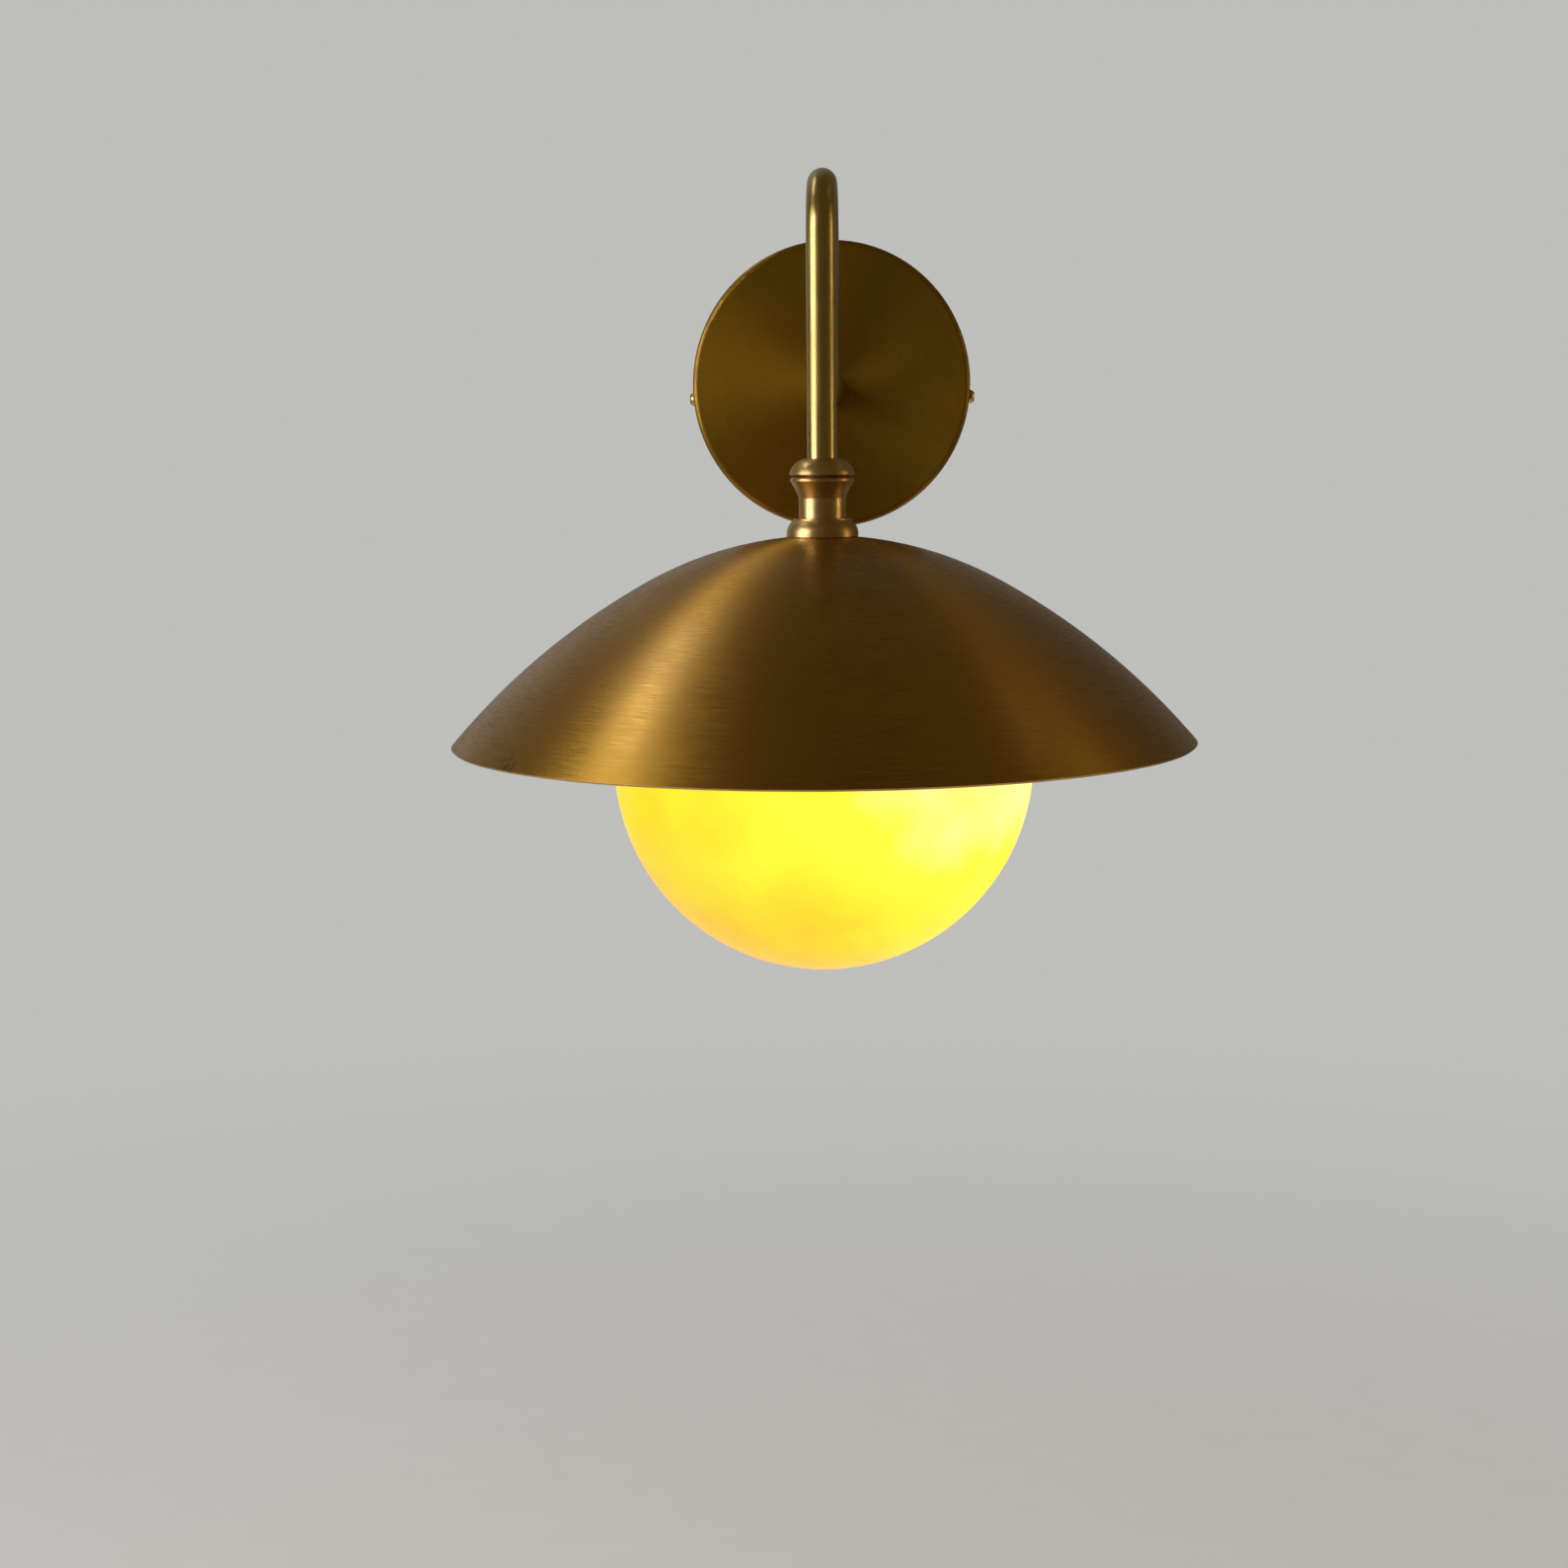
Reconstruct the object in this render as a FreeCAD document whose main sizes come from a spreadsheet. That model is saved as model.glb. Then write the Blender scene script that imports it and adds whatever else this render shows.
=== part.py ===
"""Wall light: a brass dome shade over an opal glass globe, hung from a swan-neck arm.

Millimetres, +Z up.  The origin is on the wall, at the centre of the wall bracket.
The wall is the plane Y = 0 and the light stands out of it towards -Y.
"""
import FreeCAD, Part
import math
import os
import re
import Sketcher

SHEET = "Sizes"

# Every driving size, written once.  Radii are outer radii unless the name says bore.
SIZES = {
    # fits and clearances
    "thread_play": 0.05,            # radial, between a thread or seat and its bore
    "running_play": 0.05,           # radial, between the arm and what turns on it
    "moving_gap": 0.35,             # between pieces that move past each other
    # canopy, the cup on the wall
    "canopy_radius": 52.5,
    "canopy_depth": 22.0,
    "canopy_sheet": 1.0,
    "canopy_round": 2.0,
    "canopy_rise": 4.5,             # canopy centre above the bracket centre
    # wall bracket
    "bracket_width": 16.0,
    "bracket_sheet": 2.0,
    "ear_margin": 6.0,              # ear beyond the side screw's axis
    "ear_gap": 0.3,
    "tab_width": 14.0,
    "tab_margin": 1.5,              # tab above the connector block
    "cable_hole": 5.0,
    "slot_spacing": 70.0,
    "slot_length": 12.0,
    "slot_width": 4.8,
    # screws: canopy sides, earth, connector
    "side_screw_out": 11.0,         # height of the side screws above the wall
    "side_screw_radius": 2.0,
    "side_screw_length": 6.6,
    "side_head_radius": 2.6,
    "side_head_height": 1.7,
    "side_head_flat": 1.6,          # radius of the flat on the domed head
    "earth_screw_across": 18.0,
    "earth_screw_radius": 2.0,
    "earth_screw_length": 2.7,
    "earth_head_radius": 4.0,
    "earth_head_height": 2.6,
    "tag_radius": 4.0,
    "tag_sheet": 0.8,
    "tag_barrel_radius": 1.7,
    "tag_barrel_length": 6.0,
    # connector block for the mains, three ways side by side
    "block_pitch": 8.0,
    "block_height": 14.0,
    "block_depth": 11.0,
    "block_bottom": 17.5,
    "block_way_radius": 1.6,
    "block_way_out": 4.5,           # height of the ways above the back of the block
    "block_screw_radius": 1.5,
    "block_screw_length": 12.5,
    "block_head_radius": 2.7,
    "block_head_height": 1.8,
    "way_screw_radius": 1.4,
    "way_screw_shank": 1.0,
    "way_screw_length": 3.0,
    "way_screw_head": 1.4,
    "driver_slot": 0.6,             # width of a screwdriver slot
    "driver_slot_depth": 0.7,
    # arm
    "arm_radius": 5.0,
    "arm_wall": 1.0,
    "arm_rise": 2.0,                # where it leaves the canopy, above the bracket centre
    "arm_reach": 140.0,             # wall to the axis of the head
    "arm_top": 67.3,                # top of the arm's centre line
    "arm_bend": 17.0,               # centre-line radius of the turn at the top
    "arm_sweep": 60.0,              # centre-line radius of the bend below it
    "arm_stub": 9.0,                # straight at the canopy, where the stud is screwed in
    "arm_root_bend": 22.0,          # centre-line radius where it leaves the canopy
    "arm_slope": 30.5,              # of its straight rise, in degrees
    "stud_length": 15.0,
    "stud_in_arm": 8.0,
    "stud_bore": 2.9,
    "nut_flats": 12.0,
    "nut_height": 4.0,
    "washer_sheet": 1.0,
    "washer_width": 3.0,
    # flex and its cores
    "flex_radius": 2.5,
    "core_radius": 0.95,
    "core_offset": 1.15,
    "flex_beyond_stud": 2.5,        # its sheath's end past the end of the stud
    # swivel between the arm and the head
    "head_drop": 47.3,              # crown of the shade below the bracket centre
    "swivel_height": 20.1,          # swivel gap above the crown
    "swivel_gap": 0.6,
    "cap_radius": 11.0,
    "cap_height": 5.5,
    "cap_edge": 0.7,
    "cap_arc": 6.6,
    "collar_radius": 10.8,
    "collar_bevel": 0.6,
    "collar_height": 1.6,
    "neck_radius": 7.9,
    "neck_top": 7.2,                # below the swivel gap
    "neck_arc": 18.0,
    "neck_bottom": 13.9,
    "swivel_bore_depth": 4.5,
    "chamber_radius": 6.4,
    "swivel_spring": 0.8,
    "swivel_nut_height": 3.2,
    "arm_end": 9.0,                 # arm end below the swivel gap
    "pin_radius": 0.6,
    "pin_reach": 1.5,               # into the collar
    "pin_hold": 1.9,                # into the cap
    "swivel_stop": 20.0,            # width of the stop in the pin's track, in degrees
    "swivel_washer_radius": 7.0,
    "flange_top_radius": 9.8,
    "flange_radius": 12.1,
    "flange_step": 0.5,
    "flange_edge": 1.6,
    "flange_arc": 6.0,
    "flange_foot": 0.35,
    "spigot_height": 3.4,
    "bore_chamfer": 0.3,
    # hollow threaded rod through the head
    "rod_radius": 5.0,
    "rod_bore": 3.6,
    "rod_above": 9.0,
    "rod_below": 15.0,
    "rod_washer_width": 5.4,
    "rod_nut_flats": 14.0,
    "rod_nut_height": 3.5,
    # dome shade
    "shade_radius": 127.0,
    "shade_height": 68.2,
    "shade_sheet": 1.0,
    "crown_flat": 12.4,
    "crown_curve": 126.0,           # radius of the crown
    "crown_reach": 60.0,            # how far from the axis the crown's curve goes
    # gallery that holds the globe
    "gallery_sheet": 0.8,
    "gallery_hub": 12.0,
    "gallery_shoulder": 12.6,       # below the crown
    "gallery_edge": 0.8,            # skirt below the thumbscrew bosses
    "gasket_sheet": 1.0,
    # opal globe
    "globe_radius": 72.0,
    "globe_wall": 2.6,
    "globe_neck": 48.4,
    "globe_neck_height": 5.1,       # straight neck between the ball and its lip
    "globe_lip_width": 2.0,         # lip beyond the neck
    "globe_lip_height": 2.4,
    "globe_lip_room": 1.2,          # radial, between the lip and the gallery
    # thumbscrews of the gallery
    "thumb_radius": 1.5,
    "thumb_tip_gap": 0.2,
    "thumb_below_lip": 3.1,         # lip underside to the screw axis
    "thumb_boss_radius": 3.0,
    "thumb_boss_length": 2.0,
    "thumb_head_radius": 2.75,
    "thumb_head_length": 4.0,
    "thumb_bevel": 0.6,
    "thumb_head_gap": 0.35,         # from the boss to the head when the screw is done up
    # lampholder
    "holder_radius": 13.5,
    "holder_wall": 1.5,
    "holder_entry": 7.5,
    "holder_entry_height": 2.0,
    "holder_shoulder": 8.0,
    "holder_thread": 7.0,           # length of its threaded entry
    "holder_cap_height": 18.0,
    "holder_height": 50.0,
    "holder_lip": 8.2,
    "insert_top": 15.5,
    "insert_bottom": 28.0,
    "insert_bore": 2.0,
    "shell_bore": 7.05,
    "shell_sheet": 0.45,
    "shell_bottom": 48.0,
    "contact_height": 1.6,
    "contact_foot": 4.0,
    "contact_tip": 2.6,
    "lead_terminal": 7.3,           # distance of the lead terminals from the axis
    "lead_screw_radius": 0.9,
    "lead_screw_length": 3.0,
    "lead_head_radius": 1.3,
    "lead_head_height": 1.2,
    "lead_entry": 4.6,              # distance of the leads from the axis where they end
    "flex_lamp_end": 9.5,           # sheath end below the top of the lampholder
    # bulb
    "bulb_cap_radius": 6.95,
    "bulb_cap_wall": 0.4,
    "bulb_cap_length": 21.0,
    "bulb_pip_radius": 2.4,
    "bulb_pip_tip": 1.2,
    "bulb_collar_radius": 17.0,
    "bulb_collar_neck": 2.0,
    "bulb_collar_height": 15.6,
    "bulb_collar_wall": 1.5,
    "bulb_radius": 22.5,
    "bulb_wall": 1.0,
}

doc = FreeCAD.newDocument("wall_light")
sheet = doc.addObject("Spreadsheet::Sheet", SHEET)
for row, (name, value) in enumerate(SIZES.items(), start=1):
    sheet.set(f"A{row}", name)
    sheet.set(f"B{row}", str(value))
    sheet.setAlias(f"B{row}", name)
doc.recompute()

PARTS = []
Vector = FreeCAD.Vector


# ---------------------------------------------------------------- expressions
def bound(expression):
    """The expression with each size named the way a document object must name it."""
    return re.sub(r"[a-z][a-z_]+", lambda word: SHEET + "." + word.group()
                  if word.group() in SIZES else word.group(), expression)


def value(expression):
    return float(sheet.evalExpression(bound(expression)))


def bind(thing, path, expression):
    """Ties a property of an object to the sheet."""
    thing.setExpression(path, bound(expression))


# ---------------------------------------------------------------- placements
UPRIGHT = FreeCAD.Rotation()
OUT_OF_WALL = FreeCAD.Rotation(Vector(1, 0, 0), 90)     # local Z points out of the wall, local Y up
ALONG_X = FreeCAD.Rotation(Vector(0, 1, 0), 90)
AGAINST_X = FreeCAD.Rotation(Vector(0, 1, 0), -90)
CANOPY = ("0", "0", "canopy_rise")
ARM_ROOT = ("0", "0", "arm_rise")
HEAD = ("0", "-arm_reach", "-head_drop")
SWIVEL = ("0", "-arm_reach", "swivel_height-head_drop")
GLOBE_DROP = ("(gallery_shoulder+gallery_sheet+gasket_sheet+globe_lip_height+globe_neck_height"
              "+sqrt(globe_radius^2-globe_neck^2))")        # centre below the crown
GLOBE = ("0", "-arm_reach", f"-head_drop-{GLOBE_DROP}")
HOLDER_DROP = "(shade_sheet+gallery_sheet+washer_sheet+rod_nut_height)"
HOLDER = ("0", "-arm_reach", "-head_drop-" + HOLDER_DROP)


def place(thing, at, turn=UPRIGHT):
    thing.Placement = FreeCAD.Placement(Vector(*[value(part) for part in at]), turn)
    for axis, part in zip("xyz", at):
        bind(thing, f".Placement.Base.{axis}", part)


def keep(thing, label):
    """Registers a finished sub-part under its name."""
    thing.Label = label
    PARTS.append(thing)
    return thing


# ---------------------------------------------------------------- sketches
def new_sketch(body, name, plane="XZ_Plane"):
    drawing = body.newObject("Sketcher::SketchObject", name)
    support = [part for part in body.Origin.OriginFeatures if part.Role == plane]
    drawing.AttachmentSupport = [(support[0], "")]
    drawing.MapMode = "FlatFace"
    return drawing


def limit(drawing, terms, expression):
    """Adds one dimension, its terms being what Sketcher.Constraint takes before the value."""
    number = drawing.addConstraint(Sketcher.Constraint(*terms, value(expression)))
    bind(drawing, f"Constraints[{number}]", expression)


def pin(drawing, edge, end, across, up):
    """Fixes one end of an edge, or a centre, at two expressions."""
    limit(drawing, ("DistanceX", -1, 1, edge, end), across)
    limit(drawing, ("DistanceY", -1, 1, edge, end), up)


def size_radius(drawing, edge, expression):
    limit(drawing, ("Radius", edge), expression)


def arc_between(start, end, radius, side):
    """An arc of the given radius; side is left or right of the way from start to end."""
    chord = end - start
    middle = (start + end) * 0.5
    normal = Vector(-chord.y, chord.x, 0).normalize()
    rise = math.sqrt(max(radius ** 2 - chord.Length ** 2 / 4, 0))
    centre = middle + normal * (rise if side == "left" else -rise)
    first, last = (start, end) if side == "left" else (end, start)
    angles = [math.atan2(point.y - centre.y, point.x - centre.x) for point in (first, last)]
    circle = Part.Circle(centre, Vector(0, 0, 1), radius)
    return Part.ArcOfCircle(circle, angles[0], angles[1])


def outline(drawing, corners):
    """A closed outline.  A corner is (across, up), and the edge that leaves it is straight,
    or (across, up, radius, side), and that edge is an arc with its centre on that side."""
    spots = [Vector(value(corner[0]), value(corner[1]), 0) for corner in corners]
    first = drawing.GeometryCount
    for number, corner in enumerate(corners):
        start, end = spots[number], spots[(number + 1) % len(corners)]
        if len(corner) == 2:
            drawing.addGeometry(Part.LineSegment(start, end), False)
        else:
            drawing.addGeometry(arc_between(start, end, value(corner[2]), corner[3]), False)

    def edge_end(number, starts):
        flipped = len(corners[number]) == 4 and corners[number][3] == "right"
        return 1 if starts != flipped else 2

    for number, corner in enumerate(corners):
        following = (number + 1) % len(corners)
        drawing.addConstraint(Sketcher.Constraint("Coincident", first + number, edge_end(number, False),
                                                  first + following, edge_end(following, True)))
        pin(drawing, first + number, edge_end(number, True), corner[0], corner[1])
        if len(corner) == 4:
            size_radius(drawing, first + number, corner[2])


def circle(drawing, across, up, radius):
    centre = Vector(value(across), value(up), 0)
    edge = drawing.addGeometry(Part.Circle(centre, Vector(0, 0, 1), value(radius)), False)
    pin(drawing, edge, 3, across, up)
    size_radius(drawing, edge, radius)


def slot(drawing, middle, run, radius):
    """A slot along the sketch's X, from its middle, half the run between its ends, and a radius."""
    reach, round_end = value(run), value(radius)
    first = drawing.GeometryCount
    for side, angle in ((1, -math.pi / 2), (-1, math.pi / 2)):
        centre = Vector(value(middle) + side * reach, 0, 0)
        end = Part.Circle(centre, Vector(0, 0, 1), round_end)
        drawing.addGeometry(Part.ArcOfCircle(end, angle, angle + math.pi), False)
    for side in (1, -1):
        ends = [Vector(value(middle) + way * side * reach, side * round_end, 0) for way in (1, -1)]
        drawing.addGeometry(Part.LineSegment(*ends), False)
    for arc, end, line, start in ((0, 2, 2, 1), (1, 1, 2, 2), (1, 2, 3, 1), (0, 1, 3, 2)):
        drawing.addConstraint(Sketcher.Constraint("Tangent", first + arc, end, first + line, start))
    pin(drawing, first, 3, f"{middle}+{run}", "0")
    pin(drawing, first + 1, 3, f"{middle}-{run}", "0")
    drawing.addConstraint(Sketcher.Constraint("Equal", first, first + 1))
    size_radius(drawing, first, radius)


def rectangle(drawing, left, right, low, high):
    outline(drawing, [(left, low), (right, low), (right, high), (left, high)])


# ---------------------------------------------------------------- features
def new_body(name):
    return doc.addObject("PartDesign::Body", name)


def revolve(body, drawing):
    turning = body.newObject("PartDesign::Revolution", "turning")
    turning.Profile = drawing
    turning.ReferenceAxis = (drawing, ["V_Axis"])
    turning.Angle = 360
    return turning


def pad(body, drawing, height, reverse=False):
    raised = body.newObject("PartDesign::Pad", "pad")
    raised.Profile = drawing
    raised.Length = value(height)
    bind(raised, "Length", height)
    raised.Reversed = reverse
    return raised


def cut_through(body, drawing):
    """Cuts the sketch through the whole body, both ways from its plane."""
    hole = body.newObject("PartDesign::Pocket", "hole")
    hole.Profile = drawing
    hole.Type = "ThroughAll"
    hole.SideType = "Symmetric"
    return hole


def turned_body(name, corners, at, turn=UPRIGHT):
    """A body of revolution about its own Z axis, from an outline of radii and heights."""
    body = new_body(name)
    drawing = new_sketch(body, "half_section")
    outline(drawing, corners)
    revolve(body, drawing)
    place(body, at, turn)
    return body


def turned(name, corners, at, turn=UPRIGHT):
    return keep(turned_body(name, corners, at, turn), name)


def ring(name, bore, radius, low, high, at, turn=UPRIGHT):
    """A flat ring or tube: a washer, a gasket, a sleeve."""
    return turned(name, [(bore, low), (radius, low), (radius, high), (bore, high)], at, turn)


def hex_nut(name, flats, bore, low, height, at, turn=UPRIGHT):
    body = new_body(name)
    drawing = new_sketch(body, "hexagon", "XY_Plane")
    reach = f"({flats})/sqrt(3)"
    outline(drawing, [(f"{reach}*cos({angle})", f"{reach}*sin({angle})") for angle in range(0, 360, 60)])
    circle(drawing, "0", "0", bore)
    pad(body, drawing, height)
    place(body, (at[0], at[1], at[2] + "+" + low) if turn is UPRIGHT
          else (at[0], f"{at[1]}-({low})", at[2]), turn)
    return keep(body, name)


def group(name, members):
    """Identical fasteners under one name, as separate solids."""
    together = doc.addObject("Part::Compound", name)
    together.Links = members
    return keep(together, name)


def screw(name, shank, length, head, height, at, turn, flat=None):
    """A slotted screw: its shank runs down from the origin and its head stands up from it.
    With a flat, the head is domed down from that radius."""
    crown = [(head, "0", head, "left"), (flat, height)] if flat else [(head, "0"), (head, height)]
    body = turned_body(name, [("0", f"-{length}"), (shank, f"-{length}"), (shank, "0")]
                       + crown + [("0", height)], at, turn)
    drawing = new_sketch(body, "driver_slot", "YZ_Plane")
    rectangle(drawing, "-driver_slot/2", "driver_slot/2",
              f"{height}-driver_slot_depth", f"{height}+driver_slot")
    cut_through(body, drawing)
    return body


# ---------------------------------------------------------------- routes
def rounded_route(corners):
    """A wire through hand-chosen corners, each rounded as large as its two runs allow."""
    points = [Vector(*[value(part) for part in corner]) for corner in corners]
    edges, last = [], points[0]
    for before, corner, after in zip(points, points[1:], points[2:]):
        back, on = before - corner, after - corner
        reach = 0.45 * min(back.Length, on.Length)
        back.normalize()
        on.normalize()
        start, end = corner + back * reach, corner + on * reach
        half_turn = (math.pi - back.getAngle(on)) / 2
        radius = reach / math.tan(half_turn)
        inward = (back + on).normalize()
        middle = corner + inward * (radius / math.cos(half_turn) - radius)
        edges.append(Part.LineSegment(last, start).toShape())
        edges.append(Part.Arc(start, middle, end).toShape())
        last = end
    edges.append(Part.LineSegment(last, points[-1]).toShape())
    return Part.Wire(edges)


def insulated_core(name, corners):
    """One insulated core of the flex along its route."""
    route = rounded_route(corners)
    start = route.Edges[0].Vertexes[0].Point
    heading = route.Edges[0].tangentAt(route.Edges[0].FirstParameter)
    section = Part.Wire([Part.makeCircle(value("core_radius"), start, heading)])
    core = doc.addObject("Part::Feature", name)
    core.Shape = route.makePipeShell([section], True, False)
    core.Placement = FreeCAD.Placement()
    keep(core, name)


def arm_route(drawing, root_end, head_end):
    """The arm's centre line in a sketch on the YZ plane: out of the canopy, up a straight rise,
    steeper, over the tight turn and straight down.  The two ends are expressions."""
    bend, sweep, root = value("arm_bend"), value("arm_sweep"), value("arm_root_bend")
    slope = math.radians(value("arm_slope"))
    onward, aside = Vector(-math.cos(slope), math.sin(slope), 0), Vector(math.sin(slope), math.cos(slope), 0)
    stub_end = Vector(-value("canopy_depth+arm_stub"), value("arm_rise"), 0)
    over = Vector(value("arm_bend-arm_reach"), value("arm_top-arm_bend"), 0)
    leaves_root = stub_end + Vector(0, root, 0) - aside * root
    # the steepening bend touches the rise and the tight turn: its centre is a line meeting a circle
    lead = leaves_root + aside * sweep - over
    half = lead.dot(onward)
    rise = -half - math.sqrt(half ** 2 - lead.Length ** 2 + (sweep + bend) ** 2)
    starts_sweep = leaves_root + onward * rise
    meets_over = over + (starts_sweep + aside * sweep - over).normalize() * bend
    side = over - Vector(bend, 0, 0)
    drawing.addGeometry(Part.LineSegment(Vector(value(root_end), stub_end.y, 0), stub_end), False)
    drawing.addGeometry(arc_between(stub_end, leaves_root, root, "right"), False)
    drawing.addGeometry(Part.LineSegment(leaves_root, starts_sweep), False)
    drawing.addGeometry(arc_between(starts_sweep, meets_over, sweep, "right"), False)
    drawing.addGeometry(arc_between(meets_over, side, bend, "left"), False)
    drawing.addGeometry(Part.LineSegment(side, Vector(side.x, value(head_end), 0)), False)
    for edge, end, following, start in ((0, 2, 1, 2), (1, 1, 2, 1), (2, 2, 3, 2), (3, 1, 4, 1), (4, 2, 5, 1)):
        drawing.addConstraint(Sketcher.Constraint("Tangent", edge, end, following, start))
    pin(drawing, 0, 1, root_end, "arm_rise")
    drawing.addConstraint(Sketcher.Constraint("Horizontal", 0))
    drawing.addConstraint(Sketcher.Constraint("Vertical", 5))
    pin(drawing, 5, 2, "-arm_reach", head_end)
    for edge, radius in ((1, "arm_root_bend"), (3, "arm_sweep"), (4, "arm_bend")):
        size_radius(drawing, edge, radius)
    limit(drawing, ("DistanceX", -1, 1, 0, 2), "-canopy_depth-arm_stub")
    limit(drawing, ("DistanceY", -1, 1, 4, 3), "arm_top-arm_bend")
    number = drawing.addConstraint(Sketcher.Constraint("Angle", 2, math.pi - slope))
    drawing.setExpression(f"Constraints[{number}]", bound("180 deg-arm_slope*1 deg"))


def along_arm(name, radius, root_end, head_end, bore=None):
    """A round section swept along the arm's centre line, and a bore swept out of it."""
    body = new_body(name)
    route = new_sketch(body, "route", "YZ_Plane")
    arm_route(route, root_end, head_end)
    for feature, size in (("AdditivePipe", radius), ("SubtractivePipe", bore)):
        if size is None:
            continue
        section = new_sketch(body, "section", "XZ_Plane")
        section.AttachmentOffset = FreeCAD.Placement(Vector(0, 0, -value(root_end)), FreeCAD.Rotation())
        bind(section, ".AttachmentOffset.Base.z", f"-({root_end})")
        circle(section, "0", "arm_rise", size)
        sweep = body.newObject("PartDesign::" + feature, "sweep")
        sweep.Profile = section
        sweep.Spine = route
    place(body, ("0", "0", "0"))
    keep(body, name)


# ================================================================ on the wall
EAR = "(sqrt((canopy_radius-canopy_sheet)^2-(canopy_rise+bracket_width/2)^2)-ear_gap)"


def make_wall_bracket():
    """A bent steel strap with two tapped ears, and a tab that carries the connector block."""
    body = new_body("wall_bracket")
    strap = new_sketch(body, "strap", "XY_Plane")
    half, tab, tab_top = "bracket_width/2", "tab_width/2", "block_bottom+block_height+tab_margin"
    outline(strap, [("-" + EAR, "-" + half), (EAR, "-" + half), (EAR, half), (tab, half), (tab, tab_top),
                    ("-" + tab, tab_top), ("-" + tab, half), ("-" + EAR, half)])
    pad(body, strap, "bracket_sheet")
    for side in ("-", ""):
        ear = new_sketch(body, "ear", "XY_Plane")
        edges = [f"{side}{EAR}", f"{side}({EAR}-bracket_sheet)"]
        rectangle(ear, edges[0] if side else edges[1], edges[1] if side else edges[0], "-" + half, half)
        pad(body, ear, "side_screw_out+ear_margin")
    holes = new_sketch(body, "holes", "XY_Plane")
    circle(holes, "0", "0", "cable_hole")
    circle(holes, "earth_screw_across", "0", "earth_screw_radius+thread_play")
    for side in ("-", ""):
        circle(holes, f"{side}block_pitch/2", "block_bottom+block_height/2", "block_screw_radius+thread_play")
        slot(holes, f"{side}slot_spacing/2", "(slot_length-slot_width)/2", "slot_width/2")
    cut_through(body, holes)
    tapped = new_sketch(body, "tapped_ears", "YZ_Plane")
    circle(tapped, "0", "side_screw_out", "side_screw_radius+thread_play")
    cut_through(body, tapped)
    place(body, ("0", "0", "0"), OUT_OF_WALL)
    keep(body, "wall_bracket")


def make_canopy():
    inner = "canopy_radius-canopy_sheet"
    inner_round = "(canopy_round-canopy_sheet)"
    floor = "canopy_depth-canopy_sheet"
    body = turned_body("canopy", [
        ("0", floor), (f"{inner}-{inner_round}", floor, inner_round, "right"),
        (inner, f"{floor}-{inner_round}"), (inner, "0"), ("canopy_radius", "0"),
        ("canopy_radius", "canopy_depth-canopy_round", "canopy_round", "left"),
        ("canopy_radius-canopy_round", "canopy_depth"), ("0", "canopy_depth")], CANOPY, OUT_OF_WALL)
    arm_hole = new_sketch(body, "arm_hole", "XY_Plane")
    circle(arm_hole, "0", "arm_rise-canopy_rise", "arm_radius-arm_wall+thread_play")
    cut_through(body, arm_hole)
    holes = new_sketch(body, "side_holes", "YZ_Plane")
    circle(holes, "-canopy_rise", "side_screw_out", "side_screw_radius+ear_gap")
    cut_through(body, holes)
    keep(body, "canopy")


def make_canopy_screws():
    both = []
    for side, turn in (("-", AGAINST_X), ("", ALONG_X)):
        both.append(screw("side_screw", "side_screw_radius", "side_screw_length", "side_head_radius",
                          "side_head_height", (f"{side}(canopy_radius+thread_play)", "-side_screw_out", "0"),
                          turn, flat="side_head_flat"))
    group("canopy_screws", both)


def make_earth_terminal():
    seat = "-bracket_sheet-tag_sheet"
    keep(screw("earth_screw", "earth_screw_radius", "earth_screw_length", "earth_head_radius",
               "earth_head_height", ("earth_screw_across", seat, "0"), OUT_OF_WALL), "earth_screw")
    body = new_body("earth_tag")
    flat = new_sketch(body, "flat", "XY_Plane")
    circle(flat, "0", "0", "tag_radius")
    circle(flat, "0", "0", "earth_screw_radius+thread_play")
    pad(body, flat, "tag_sheet")
    barrel = new_sketch(body, "barrel", "XZ_Plane")
    circle(barrel, "0", "tag_barrel_radius", "tag_barrel_radius")
    barrel.AttachmentOffset = FreeCAD.Placement(Vector(0, 0, 0), FreeCAD.Rotation())
    bind(barrel, ".AttachmentOffset.Base.z", "-(earth_head_radius+moving_gap)")
    pad(body, barrel, "tag_barrel_length", reverse=True)
    tongue = new_sketch(body, "tongue", "XY_Plane")
    rectangle(tongue, "-tag_barrel_radius", "tag_barrel_radius",
              "tag_radius-tag_sheet", "earth_head_radius+moving_gap+tag_sheet")
    pad(body, tongue, "tag_sheet")
    place(body, ("earth_screw_across", "-bracket_sheet", "0"), OUT_OF_WALL)
    keep(body, "earth_tag")


WAYS = ("-block_pitch", "0", "block_pitch")
WAY_OUT = "(bracket_sheet+block_way_out)"


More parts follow.
